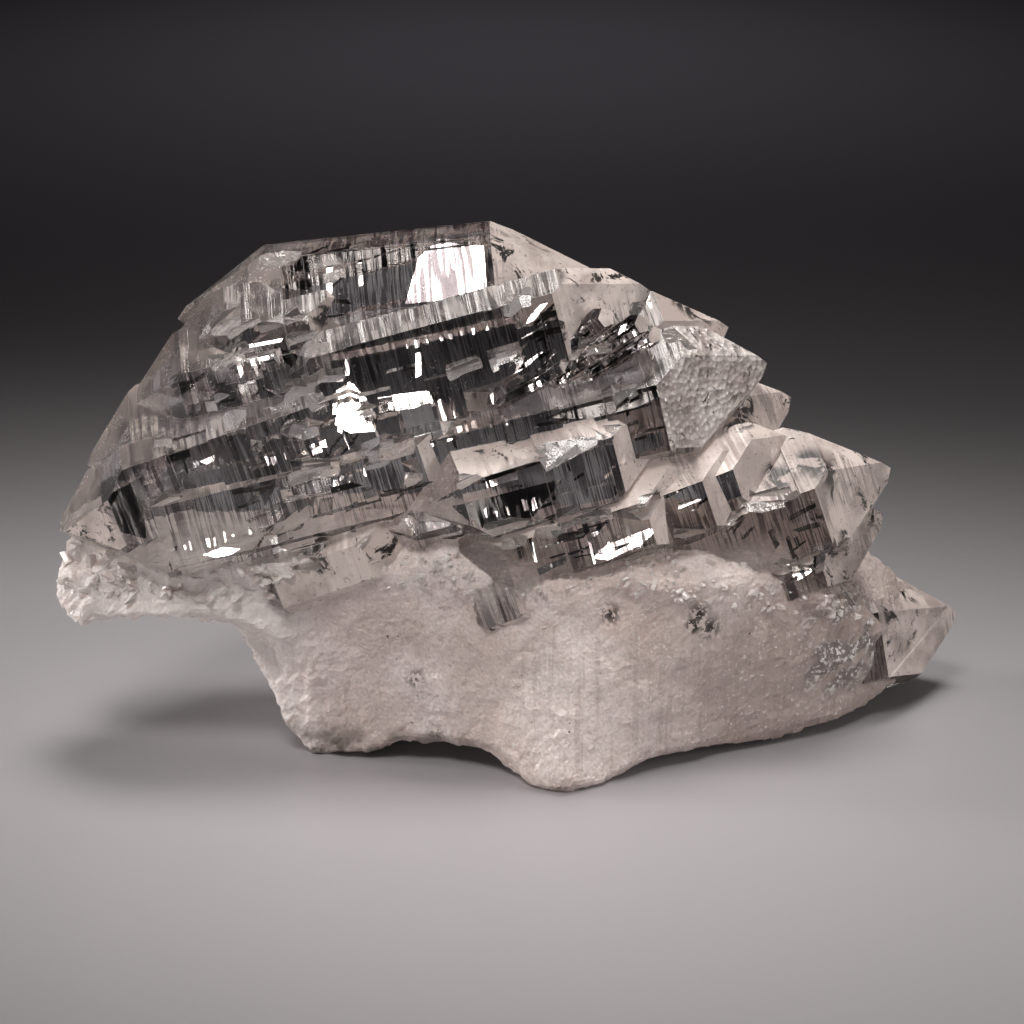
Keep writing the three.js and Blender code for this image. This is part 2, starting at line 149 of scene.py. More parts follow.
def crystal_body(axis_start, axis_end, widths, roll, tilt, frosted, point_finish, ledge_finish, creamy,
                 proud=0.0, span=None):
    """A six-sided crystal: a cylinder ringed by growth lines, then cut to its points."""
    start, end, axis, front = standing(axis_start, axis_end, roll)
    length = (end - start).length
    growth = [proud if k in STEPPED_SIDES else -proud for k in range(6)]
    reach = [(w + g) * MM for w, g in zip(widths, growth)]
    bpy.ops.object.select_all(action="DESELECT")
    bpy.ops.mesh.primitive_cylinder_add(vertices=6, radius=10 * MM, depth=length)
    piece = bpy.context.object
    bpy.ops.object.mode_set(mode="EDIT")
    bpy.ops.mesh.select_mode(type="EDGE")
    cage = bmesh.from_edit_mesh(piece.data)
    for edge in cage.edges:
        edge.select_set(abs(edge.verts[0].co.z - edge.verts[1].co.z) > length / 2)
    bmesh.update_edit_mesh(piece.data)
    rings = max(3, int(length / MM / RING_SPACING))
    bpy.ops.mesh.subdivide(number_cuts=rings)
    # Each ring of corners stands a little in or out, which draws the growth lines
    corners = corner_reach(reach)
    relief = [growing.uniform(-1, 1) * LINE_RELIEF * MM for _ in range(rings + 2)]
    slip = [growing.uniform(-0.2, 0.2) * RING_SPACING * MM for _ in range(rings + 2)]
    cage = bmesh.from_edit_mesh(piece.data)
    for vert in cage.verts:
        ring = round((vert.co.z / length + 0.5) * (rings + 1))
        k = round((-math.degrees(math.atan2(vert.co.y, vert.co.x)) - 30) / 60) % 6
        corner = corners[k] + corners[k].normalized() * relief[ring]
        vert.co.x, vert.co.y = corner
        if 0 < ring < rings + 1:
            vert.co.z += slip[ring]
    bmesh.update_edit_mesh(piece.data)
    slant = math.radians(tilt)
    for k in range(6):
        side = Vector((math.cos(-math.radians(60 * k)), math.sin(-math.radians(60 * k)), 0))
        for way, greater in ((1, 0), (-1, 1)):
            normal = side * math.sin(slant) + Vector((0, 0, way * math.cos(slant)))
            lag = (0 if k % 2 == greater else LESSER_FACE_LAG) + growth[k]
            point = Vector((0, 0, way * length / 2)) + normal * lag * MM
            bpy.ops.mesh.select_all(action="SELECT")
            bpy.ops.mesh.bisect(plane_co=point, plane_no=normal, use_fill=True, clear_outer=True)
    if span:
        for share, way in ((span[0], -1), (span[1], 1)):
            bpy.ops.mesh.select_all(action="SELECT")
            bpy.ops.mesh.bisect(plane_co=(0, 0, (share - 0.5) * length), plane_no=(0, 0, way),
                                use_fill=True, clear_outer=True)
    bpy.ops.mesh.select_all(action="SELECT")
    bpy.ops.mesh.remove_doubles(threshold=0.001 * MM)
    bpy.ops.object.mode_set(mode="OBJECT")
    # Prism faces run along the axis, point faces lean across it
    for face in piece.data.polygons:
        side = round(-math.degrees(math.atan2(face.normal.y, face.normal.x)) / 60) % 6
        if not 0.35 < abs(face.normal.z) < 0.95:
            face.material_index = ledge_finish if side in frosted else PRISM
        elif face.normal.z < 0:
            face.material_index = POINT if side in creamy else SPECKLED
        else:
            face.material_index = point_finish
    growth_axis = piece.data.attributes.new("growth_axis", "FLOAT_VECTOR", "FACE")
    growth_axis.data.foreach_set("vector", list(axis) * len(piece.data.polygons))
    across = axis.cross(front)
    turn = Matrix((front, across, axis)).transposed().to_4x4()
    piece.data.transform(Matrix.Translation((start + end) / 2) @ turn)
    return piece


def finish_of(piece, coats):
    for coat in coats:
        piece.data.materials.append(coat)


clear_coat = bpy.data.materials.new("clear_quartz")
point_coat = bpy.data.materials.new("frosted_quartz")
break_coat = bpy.data.materials.new("broken_quartz")
speckled_coat = bpy.data.materials.new("speckled_quartz")
sparkling_coat = bpy.data.materials.new("sparkling_quartz")
ledge_coat = bpy.data.materials.new("ledge_quartz")
coats = (clear_coat, point_coat, break_coat, speckled_coat, sparkling_coat, ledge_coat)


def grow(spec):
    """One crystal with its growth steps, as separate overlapping bodies."""
    shape = (spec["left"], spec["right"], spec["widths"], spec.get("roll", 0),
             spec.get("tilt", TERMINATION_TILT), spec.get("frosted", (1,)), spec.get("points", POINT),
             spec.get("ledge", LEDGE), spec.get("creamy", ()))
    made = [crystal_body(*shape)]
    for first, last, proud in spec.get("steps", ()):
        made.append(crystal_body(*shape, proud, (first, last)))
    for piece in made:
        finish_of(piece, coats)
    return made


def combine(base, other, operation="UNION"):
    joint = base.modifiers.new("joint", "BOOLEAN")
    joint.operation = operation
    joint.solver = "MANIFOLD"
    joint.object = other
    select_only(base)
    bpy.ops.object.modifier_apply(modifier=joint.name)
    bpy.data.objects.remove(other)


crystals, *rest = grow(CROWN)
for spec in CLEAR_CRYSTALS + BLADES:
    rest.extend(grow(spec))
for piece in rest:
    combine(crystals, piece)
crystals.name = crystals.data.name = "clear_crystals"
print("crystals", len(crystals.data.polygons))

# Chips broken out of the clear crystals, shell-like where they are rounder
CHIPS = (
    ((-26.5, 0, 59.6), (4.6, 3.8, 2.6), 0, True),
    ((-31, -1.5, 56.4), (3.2, 2.8, 1.8), 0, True),
    ((-22, -9.6, 41.4), (2.2, 2.6, 1.5), 20, False),
    ((-15.6, -10.2, 43.6), (3.2, 2.8, 1.6), 14, False),
    ((-9.6, -11, 37.6), (2, 2.8, 2.6), -30, False),
    ((2, -9.4, 48.6), (2.6, 2.4, 1.6), 25, False),
    ((14.6, -10.2, 35.6), (2.4, 2.4, 1.4), 35, False),
    ((31, -5.8, 32.6), (2.2, 2.2, 1.6), 10, False),
    ((44.4, 0, 27.6), (1.4, 2, 2.4), -15, False),
    ((-38, -10.4, 33), (2, 2.2, 1.2), 18, False),
    ((21, -7.4, 42.4), (1.8, 2.4, 1.4), 30, False), ((-47, -8.6, 20.6), (2.2, 2, 1.4), 0, False),
    ((5, 21, 40), (3, 3, 2.4), 12, False), ((-24, 19.6, 39), (3.4, 2.6, 2), -20, False),
)
for at, size, spin, rounder in CHIPS:
    bpy.ops.object.select_all(action="DESELECT")
    if rounder:
        bpy.ops.mesh.primitive_ico_sphere_add(subdivisions=4, radius=1)
    else:
        bpy.ops.mesh.primitive_cone_add(vertices=5, radius1=1, depth=1.4)
    chip = bpy.context.object
    if rounder:
        for vert in chip.data.vertices:
            ripple = 0.05 * math.sin(9 * vert.co.length + 16 * vert.co.x)
            vert.co *= 1 + ripple + 0.08 * noise.noise(vert.co * 1.7)
    for face in chip.data.polygons:
        face.material_index = BREAK
    finish_of(chip, coats)
    shape = Matrix.Diagonal((size[0] * MM, size[1] * MM, size[2] * MM, 1))
    turn = Matrix.Rotation(-math.radians(spin), 4, "Y")
    place = Matrix.Translation(Vector(at) * MM + GROWING_FRAME)
    chip.data.transform(place @ turn @ shape)
    combine(crystals, chip, "DIFFERENCE")

# Small flakes knocked off the long front edges, but not out of the large clean faces,
# given as X from and to, then Z from and to
chipping = random.Random(23)
FLAKE_COUNT = 120
CLEAN_PLACES = ((-12.5, -0.5, 52.5, 63), (-19.5, 4.5, 38.6, 46.4), (-46, -30, 26, 36), (-20, 0, 47, 53))


def is_clean(x, z):
    return any(left < x < right and low < z < high for left, right, low, high in CLEAN_PLACES)



def edge_point(spec, share, k):
    """A point on the long edge between side k and the next one."""
    start, end, axis, front = standing(spec["left"], spec["right"], spec.get("roll", 0))
    corner = corner_reach([w * MM for w in spec["widths"]])[k]
    return start.lerp(end, share) + front * corner.x + axis.cross(front) * corner.y


flakes = []
front_crystals = [CROWN] + [spec for spec in CLEAR_CRYSTALS[:24] if spec["right"][0] - spec["left"][0] > 18]
for _ in range(FLAKE_COUNT):
    spec = chipping.choice(front_crystals)
    middle = edge_point(spec, chipping.uniform(0.12, 0.88), chipping.choice((0, 0, 0, 5)))
    spot = (middle - GROWING_FRAME) / MM
    if is_clean(spot.x, spot.z):
        continue
    bpy.ops.object.select_all(action="DESELECT")
    bpy.ops.mesh.primitive_cube_add(size=2)
    size = (chipping.uniform(0.6, 3.6), chipping.uniform(0.8, 2), chipping.uniform(0.35, 0.8))
    flake = bpy.context.object
    for vert in flake.data.vertices:
        vert.co *= chipping.uniform(0.75, 1.1)
    for face in flake.data.polygons:
        face.material_index = BREAK
    finish_of(flake, coats)
    lie = (Matrix.Rotation(chipping.uniform(-0.35, 0.35), 4, "Z") @ Matrix.Rotation(chipping.uniform(-0.5, 0.1), 4, "Y")
           @ Matrix.Rotation(chipping.uniform(0.2, 1.2), 4, "X"))
    lift = chipping.uniform(0.1, 0.4) * MM
    middle += Vector((0, -1, 1)) * lift
    flake.data.transform(Matrix.Translation(middle) @ lie @ Matrix.Diagonal((*(part * MM for part in size), 1)))
    flakes.append(flake)
for flake in flakes[1:]:
    combine(flakes[0], flake)
combine(crystals, flakes[0], "DIFFERENCE")

# The lowest point is broken off level with the feet
select_only(crystals)
bpy.ops.object.mode_set(mode="EDIT")
bpy.ops.mesh.select_all(action="SELECT")
bpy.ops.mesh.bisect(plane_co=(0, 0, 0.02 * MM), plane_no=(0, 0, -1), use_fill=True, clear_outer=True,
                    threshold=0.001 * MM)
bpy.ops.object.mode_set(mode="OBJECT")


def new_nodes(material):
    material.use_nodes = True
    tree = material.node_tree
    tree.nodes.clear()
    out = tree.nodes.new("ShaderNodeOutputMaterial")
    shader = tree.nodes.new("ShaderNodeBsdfPrincipled")
    tree.links.new(shader.outputs["BSDF"], out.inputs["Surface"])
    return tree, shader, out


def node(tree, kind, **values):
    made = tree.nodes.new(kind)
    for key, value in values.items():
        if key.startswith("in_"):
            made.inputs[int(key[3:]) if key[3:].isdigit() else key[3:].replace("_", " ")].default_value = value
        else:
            setattr(made, key, value)
    return made


def maths(tree, operation, first, second=0.5, third=None, clamp=False):
    made = node(tree, "ShaderNodeMath", operation=operation, use_clamp=clamp)
    for socket, value in zip(made.inputs, (first, second, third)):
        if isinstance(value, bpy.types.NodeSocket):
            tree.links.new(value, socket)
        elif value is not None:
            socket.default_value = value
    return made.outputs[0]


def noise_at(tree, vector, scale, detail=2.0, rough=0.5, distortion=0.0):
    made = node(tree, "ShaderNodeTexNoise")
    made.inputs["Scale"].default_value = scale
    made.inputs["Detail"].default_value = detail
    made.inputs["Roughness"].default_value = rough
    made.inputs["Distortion"].default_value = distortion
    tree.links.new(vector, made.inputs["Vector"])
    return made.outputs["Fac"]


def ramp(tree, value, low, high, start=0.0, stop=1.0):
    made = node(tree, "ShaderNodeMapRange", interpolation_type="SMOOTHSTEP")
    tree.links.new(value, made.inputs["Value"])
    for name, number in (("From Min", low), ("From Max", high), ("To Min", start), ("To Max", stop)):
        made.inputs[name].default_value = number
    return made.outputs["Result"]


def blend(tree, share, first, second):
    made = node(tree, "ShaderNodeMix", data_type="RGBA")
    for socket, value in ((made.inputs["Factor"], share), (made.inputs["A"], first), (made.inputs["B"], second)):
        pass
    for index, value in ((0, share), (6, first), (7, second)):
        if isinstance(value, bpy.types.NodeSocket):
            tree.links.new(value, made.inputs[index])
        else:
            made.inputs[index].default_value = value
    return made.outputs[2]


# Growth lines cross each prism face at right angles to the crystal's own axis
lines = bpy.data.node_groups.new("growth_lines", "ShaderNodeTree")
for name in ("Height", "Painted Shade Lines", "Patches"):
    lines.interface.new_socket(name, in_out="OUTPUT", socket_type="NodeSocketFloat")
place = node(lines, "ShaderNodeTexCoord").outputs["Object"]
along = node(lines, "ShaderNodeAttribute", attribute_name="growth_axis", attribute_type="GEOMETRY")
dot = node(lines, "ShaderNodeVectorMath", operation="DOT_PRODUCT")
lines.links.new(place, dot.inputs[0])
lines.links.new(along.outputs["Vector"], dot.inputs[1])
travel = dot.outputs["Value"]
apart = node(lines, "ShaderNodeSeparateXYZ")
lines.links.new(place, apart.inputs[0])
aside = maths(lines, "ADD", apart.outputs[1], apart.outputs[2])


def stripe(tree, spacing, reach):
    spot = node(tree, "ShaderNodeCombineXYZ")
    tree.links.new(maths(tree, "MULTIPLY", travel, 1 / spacing), spot.inputs[0])
    tree.links.new(maths(tree, "MULTIPLY", aside, 1 / reach), spot.inputs[1])
    made = node(tree, "ShaderNodeTexNoise", noise_dimensions="2D")
    made.inputs["Scale"].default_value = 1
    made.inputs["Detail"].default_value = 1
    tree.links.new(spot.outputs[0], made.inputs["Vector"])
    return made.outputs["Fac"]


fine = stripe(lines, 0.16 * MM, 7 * MM)
medium = stripe(lines, 0.55 * MM, 10 * MM)
broad = stripe(lines, 2.2 * MM, 14 * MM)
patches = noise_at(lines, place, 110, 1, 0.55)
height = maths(lines, "ADD", maths(lines, "MULTIPLY", fine, 0.35),
               maths(lines, "ADD", maths(lines, "MULTIPLY", medium, 0.9), maths(lines, "MULTIPLY", broad, 1.6)))
# Painted shade: this mask marks where the growth lines are painted dark, standing in for the dark studio that the
# striations mirror
dark = maths(lines, "MAXIMUM", ramp(lines, fine, 0.56, 0.64),
             maths(lines, "MAXIMUM", ramp(lines, medium, 0.55, 0.6), ramp(lines, broad, 0.6, 0.64)))
dark = maths(lines, "MULTIPLY", dark, ramp(lines, patches, 0.36, 0.5))
ends = node(lines, "NodeGroupOutput")
for name, value in (("Height", height), ("Painted Shade Lines", dark), ("Patches", patches)):
    lines.links.new(value, ends.inputs[name])


def bump(tree, height, distance, strength=1.0, under=None):
    made = node(tree, "ShaderNodeBump")
    made.inputs["Strength"].default_value = strength
    made.inputs["Distance"].default_value = distance
    tree.links.new(height, made.inputs["Height"])
    if under:
        tree.links.new(under, made.inputs["Normal"])
    return made.outputs["Normal"]


# Sharp edges are bruised to a fine white line: partly real bruising, partly a painted highlight where the edges catch
# the light
edge_wear_and_highlight = bpy.data.node_groups.new("bruised_and_highlit_edges", "ShaderNodeTree")
edge_wear_and_highlight.interface.new_socket("Edge", in_out="OUTPUT", socket_type="NodeSocketFloat")
rounded = node(edge_wear_and_highlight, "ShaderNodeBevel", samples=2)
rounded.inputs["Radius"].default_value = 0.1 * MM
flat = node(edge_wear_and_highlight, "ShaderNodeNewGeometry")
dot = node(edge_wear_and_highlight, "ShaderNodeVectorMath", operation="DOT_PRODUCT")
edge_wear_and_highlight.links.new(rounded.outputs["Normal"], dot.inputs[0])
edge_wear_and_highlight.links.new(flat.outputs["True Normal"], dot.inputs[1])
turned = ramp(edge_wear_and_highlight, maths(edge_wear_and_highlight, "SUBTRACT", 1, dot.outputs["Value"]), 0.015, 0.1)
ends = node(edge_wear_and_highlight, "NodeGroupOutput")
edge_wear_and_highlight.links.new(turned, ends.inputs["Edge"])

tree, glass, out = new_nodes(clear_coat)
drawn = node(tree, "ShaderNodeGroup", node_tree=lines)
place = node(tree, "ShaderNodeTexCoord").outputs["Object"]
dust = noise_at(tree, place, 2600, 1, 0.6)
grime = noise_at(tree, place, 160, 1, 0.6)
specks = maths(tree, "MULTIPLY", ramp(tree, dust, 0.66, 0.72), ramp(tree, grime, 0.5, 0.62))
# Painted shade: the glass is tinted dark along its growth lines
glass_with_shaded_lines = blend(tree, drawn.outputs["Painted Shade Lines"], (0.93, 0.92, 0.93, 1), (0.12, 0.11, 0.12, 1))
edge = node(tree, "ShaderNodeGroup", node_tree=edge_wear_and_highlight).outputs["Edge"]
tree.links.new(blend(tree, maths(tree, "MAXIMUM", specks, edge), glass_with_shaded_lines, (1, 1, 1, 1)), glass.inputs["Base Color"])
dull = maths(tree, "MULTIPLY", maths(tree, "MAXIMUM", specks, edge), 0.5)
tree.links.new(maths(tree, "ADD", ramp(tree, grime, 0.56, 0.75, 0.0, 0.1), dull), glass.inputs["Roughness"])
tree.links.new(bump(tree, drawn.outputs["Height"], 0.05 * MM), glass.inputs["Normal"])
glass.inputs["Transmission Weight"].default_value = 1
glass.inputs["IOR"].default_value = 1.544


def near(tree, place, at, reach, fade):
    """One inside a round spot on the surface, nothing outside it."""
    gap = node(tree, "ShaderNodeVectorMath", operation="DISTANCE")
    tree.links.new(place, gap.inputs[0])
    gap.inputs[1].default_value = Vector(at) * MM
    return ramp(tree, gap.outputs["Value"], (reach + fade) * MM, reach * MM)


# Cream point faces with dark smudges of painted shade where the dark inside shows through, and dark pits of painted
# shade
PAINTED_SHADE_SMUDGES = ((30, -4, 32.3), (33.2, -3.4, 34.1), (35, -4.4, 33), (45.1, 7.8, 15.5), (46.9, 9.9, 13.7),
                (0.4, -6.3, 56.3), (3.2, -6.8, 56.7))
tree, frosted, out = new_nodes(point_coat)
drawn = node(tree, "ShaderNodeGroup", node_tree=lines)
place = node(tree, "ShaderNodeTexCoord").outputs["Object"]
cloud = noise_at(tree, place, 170, 4, 0.6)
torn = noise_at(tree, place, 330, 5, 0.72, 0.8)
painted_shade_smudge = maths(tree, "MULTIPLY", ramp(tree, torn, 0.54, 0.6), ramp(tree, noise_at(tree, place, 95, 1), 0.46, 0.54))
for at in PAINTED_SHADE_SMUDGES:
    painted_shade_smudge = maths(tree, "MAXIMUM", painted_shade_smudge, maths(tree, "MULTIPLY", near(tree, place, at, 1.1, 1.6), ramp(tree, torn, 0.42, 0.5)))
shaded_pits = ramp(tree, noise_at(tree, place, 2200, 2, 0.6), 0.64, 0.7)
shade_marks = maths(tree, "MAXIMUM", painted_shade_smudge, maths(tree, "MULTIPLY", shaded_pits, 0.6))
cream = blend(tree, ramp(tree, cloud, 0.38, 0.62), (0.98, 0.87, 0.82, 1), (0.6, 0.51, 0.48, 1))
# Painted shade: darker streaks along the growth lines
shaded_streaks = maths(tree, "MULTIPLY", drawn.outputs["Painted Shade Lines"], ramp(tree, noise_at(tree, place, 120, 2), 0.5, 0.6))
cream = blend(tree, maths(tree, "MULTIPLY", shaded_streaks, 0.7), cream, (0.35, 0.3, 0.29, 1))
edge = node(tree, "ShaderNodeGroup", node_tree=edge_wear_and_highlight).outputs["Edge"]
cream = blend(tree, shade_marks, cream, (0.05, 0.045, 0.045, 1))
tree.links.new(blend(tree, edge, cream, (1, 0.95, 0.93, 1)), frosted.inputs["Base Color"])
tree.links.new(ramp(tree, cloud, 0.3, 0.7, 0.16, 0.36), frosted.inputs["Roughness"])
grit = noise_at(tree, place, 1500, 3, 0.6)
tree.links.new(bump(tree, grit, 0.03 * MM, 0.6, bump(tree, drawn.outputs["Height"], 0.04 * MM, 0.8)),
               frosted.inputs["Normal"])
frosted.inputs["Transmission Weight"].default_value = 0.2
frosted.inputs["IOR"].default_value = 1.544

# Upward faces of the higher crystals: veiled, with painted shade where the veil is thin, for the dark inside that still
# shows, and along the growth lines
tree, veiled, out = new_nodes(ledge_coat)
drawn = node(tree, "ShaderNodeGroup", node_tree=lines)
edge = node(tree, "ShaderNodeGroup", node_tree=edge_wear_and_highlight).outputs["Edge"]
place = node(tree, "ShaderNodeTexCoord").outputs["Object"]
thin = ramp(tree, noise_at(tree, place, 150, 3, 0.6, 0.5), 0.42, 0.58)
# Painted shade where the veil is thin and along the growth lines
shade = blend(tree, thin, (0.95, 0.86, 0.82, 1), (0.3, 0.27, 0.26, 1))
shade = blend(tree, drawn.outputs["Painted Shade Lines"], shade, (0.2, 0.18, 0.18, 1))
tree.links.new(blend(tree, edge, shade, (1, 0.97, 0.95, 1)), veiled.inputs["Base Color"])
tree.links.new(ramp(tree, thin, 0, 1, 0.3, 0.08), veiled.inputs["Roughness"])
tree.links.new(bump(tree, drawn.outputs["Height"], 0.06 * MM), veiled.inputs["Normal"])
veiled.inputs["Transmission Weight"].default_value = 0.72
veiled.inputs["IOR"].default_value = 1.544

tree, broken, out = new_nodes(break_coat)
place = node(tree, "ShaderNodeTexCoord").outputs["Object"]
broken.inputs["Base Color"].default_value = (0.95, 0.92, 0.9, 1)
rings = noise_at(tree, place, 900, 2, 0.5, 1.5)
tree.links.new(bump(tree, rings, 0.08 * MM), broken.inputs["Normal"])
tree.links.new(ramp(tree, noise_at(tree, place, 300, 2), 0.4, 0.7, 0.03, 0.25), broken.inputs["Roughness"])
broken.inputs["Transmission Weight"].default_value = 0.8
broken.inputs["IOR"].default_value = 1.544

# Dusty, see-through left ends
tree, dusty, out = new_nodes(speckled_coat)
drawn = node(tree, "ShaderNodeGroup", node_tree=lines)
edge = node(tree, "ShaderNodeGroup", node_tree=edge_wear_and_highlight).outputs["Edge"]
place = node(tree, "ShaderNodeTexCoord").outputs["Object"]
dust = maths(tree, "MULTIPLY", ramp(tree, noise_at(tree, place, 3200, 2, 0.7), 0.6, 0.66),
             ramp(tree, noise_at(tree, place, 240, 3), 0.42, 0.58))
dust = maths(tree, "MAXIMUM", dust, edge)
dim = blend(tree, ramp(tree, noise_at(tree, place, 120, 3), 0.4, 0.6), (0.5, 0.47, 0.47, 1), (0.85, 0.82, 0.81, 1))
tree.links.new(blend(tree, dust, dim, (1, 0.97, 0.95, 1)), dusty.inputs["Base Color"])
tree.links.new(maths(tree, "ADD", maths(tree, "MULTIPLY", dust, 0.6), 0.04), dusty.inputs["Roughness"])
tree.links.new(bump(tree, noise_at(tree, place, 1500, 3), 0.03 * MM, 0.6,
                    bump(tree, drawn.outputs["Height"], 0.03 * MM)), dusty.inputs["Normal"])
dusty.inputs["Transmission Weight"].default_value = 0.92
dusty.inputs["IOR"].default_value = 1.544

# Ends overgrown with tiny facets that glitter; some facets and the hollows between them are darkened with painted shade
tree, glitter, out = new_nodes(sparkling_coat)
place = node(tree, "ShaderNodeTexCoord").outputs["Object"]
edge = node(tree, "ShaderNodeGroup", node_tree=edge_wear_and_highlight).outputs["Edge"]
chips = node(tree, "ShaderNodeTexVoronoi")
chips.inputs["Scale"].default_value = 1300
tree.links.new(place, chips.inputs["Vector"])
each = node(tree, "ShaderNodeSeparateColor")
tree.links.new(chips.outputs["Color"], each.inputs[0])
shaded_hollows = ramp(tree, noise_at(tree, place, 620, 5, 0.75, 0.8), 0.57, 0.65)
tone_and_painted_shade = blend(tree, ramp(tree, noise_at(tree, place, 200, 3), 0.4, 0.6), (1, 0.94, 0.91, 1), (0.66, 0.58, 0.56, 1))
# Painted shade: some tiny facets and the hollows between them are darkened
tone_and_painted_shade = blend(tree, ramp(tree, each.outputs[0], 0.6, 0.9, 0, 0.45), tone_and_painted_shade, (0.2, 0.18, 0.18, 1))
tone_and_painted_shade = blend(tree, shaded_hollows, tone_and_painted_shade, (0.06, 0.05, 0.05, 1))
tree.links.new(blend(tree, edge, tone_and_painted_shade, (1, 0.96, 0.94, 1)), glitter.inputs["Base Color"])
tree.links.new(ramp(tree, noise_at(tree, place, 260, 2), 0.4, 0.6, 0.04, 0.22), glitter.inputs["Roughness"])
tree.links.new(bump(tree, chips.outputs["Distance"], 0.45 * MM, 1.0,
                    bump(tree, noise_at(tree, place, 420, 3), 0.45 * MM, 0.8)), glitter.inputs["Normal"])
glitter.inputs["Transmission Weight"].default_value = 0.2
glitter.inputs["IOR"].default_value = 1.544

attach(crystals, "root")
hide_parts("quartz_crystal")

# Fractures inside the crystals
# Thin cracks and healed breaks in the clear quartz, a millimetre or more behind its faces. The
# air in them mirrors the studio, so they read as bright panes with sharp edges; black panes are mirrors painted dark,
# painted shade.
cracking = random.Random(5)
VIEWER = Vector((0.0008, -0.3124, 0.1293)) + GROWING_FRAME
FRONT_BOX = Vector((-0.08, -0.22, 0.40))
TOP_BOX = Vector((0.02, 0.05, 0.34))
LEFT_BOX = Vector((-0.34, 0.04, 0.12))
RIGHT_BOX = Vector((0.34, -0.06, 0.14))
crystal_tree = BVHTree.FromPolygons([vert.co.copy() for vert in crystals.data.vertices],
                                    [tuple(face.vertices) for face in crystals.data.polygons])
face_axis = crystals.data.attributes["growth_axis"].data


def bent(outside, normal):
    """The way a ray from outside runs once it is inside the quartz."""
    sideways = (outside - normal * outside.dot(normal)) / 1.544
    return (sideways + normal * math.sqrt(1 - sideways.length_squared)).normalized()


def facing(spot, normal, lamp):
    """The lean of a crack that mirrors a lamp to the front."""
    return (bent((VIEWER - spot).normalized(), normal) + bent((lamp - spot).normalized(), normal)).normalized()


def inside(point, margin):
    near, normal, _, gap = crystal_tree.find_nearest(point)
    return (point - near).dot(normal) < 0 and gap > margin


def pane(outline, behind, lean, reflectance_and_shade):
    """One crack: its outline in X and Z, how far behind the face it lies, its lean, its mirror reflectance, low for a
    dark pane of painted shade.
    """
    corners = [Vector((x, 0, z)) * MM + GROWING_FRAME for x, z in outline]
    middle = sum(corners, Vector()) / len(corners)
    spot, normal, index, _ = crystal_tree.ray_cast(Vector((middle.x, -0.1, middle.z)), Vector((0, 1, 0)))
    if spot is None:
        return None
    along = Vector(face_axis[index].vector)
    if crystals.data.polygons[index].material_index == PRISM:
        normal = (normal - along * normal.dot(along)).normalized()
    if isinstance(lean, Vector):
        tilt = facing(spot, normal, lean)
    else:
        tilt = Vector((math.sin(math.radians(lean[1])), -1, math.tan(math.radians(lean[0])))).normalized()
    middle = spot + Vector((0, behind * MM, 0))
    if not inside(middle, 0.2 * MM):
        return None
    bpy.ops.object.select_all(action="DESELECT")
    bpy.ops.mesh.primitive_circle_add(vertices=len(corners), radius=1, fill_type="NGON")
    sheet = bpy.context.object
    for vert, corner in zip(sheet.data.vertices, corners):
        offset = Vector((corner.x - middle.x, 0, corner.z - middle.z))
        offset.y = -(tilt.x * offset.x + tilt.z * offset.z) / tilt.y
        while not inside(middle + offset, 0.1 * MM) and offset.length > 0.05 * MM:
            offset *= 0.85
        vert.co = middle + offset
    sheet.data.attributes.new("pane_reflectance_and_shade", "FLOAT", "FACE").data[0].value = reflectance_and_shade
    sheet.data.attributes.new("growth_axis", "FLOAT_VECTOR", "FACE").data[0].vector = along
    return sheet


def ragged(x, z, width, height, slope, count=7):
    """An irregular outline about a point, drawn out along the slope."""
    turn = math.radians(slope)
    points = []
    for i in range(count):
        a = 2 * math.pi * (i + 0.5 + cracking.uniform(-0.2, 0.2)) / count
        r = cracking.uniform(0.75, 1.15)
        u, v = width / 2 * r * math.cos(a), height / 2 * r * math.sin(a)
        points.append((x + u * math.cos(turn) - v * math.sin(turn), z + u * math.sin(turn) + v * math.cos(turn)))
    return points
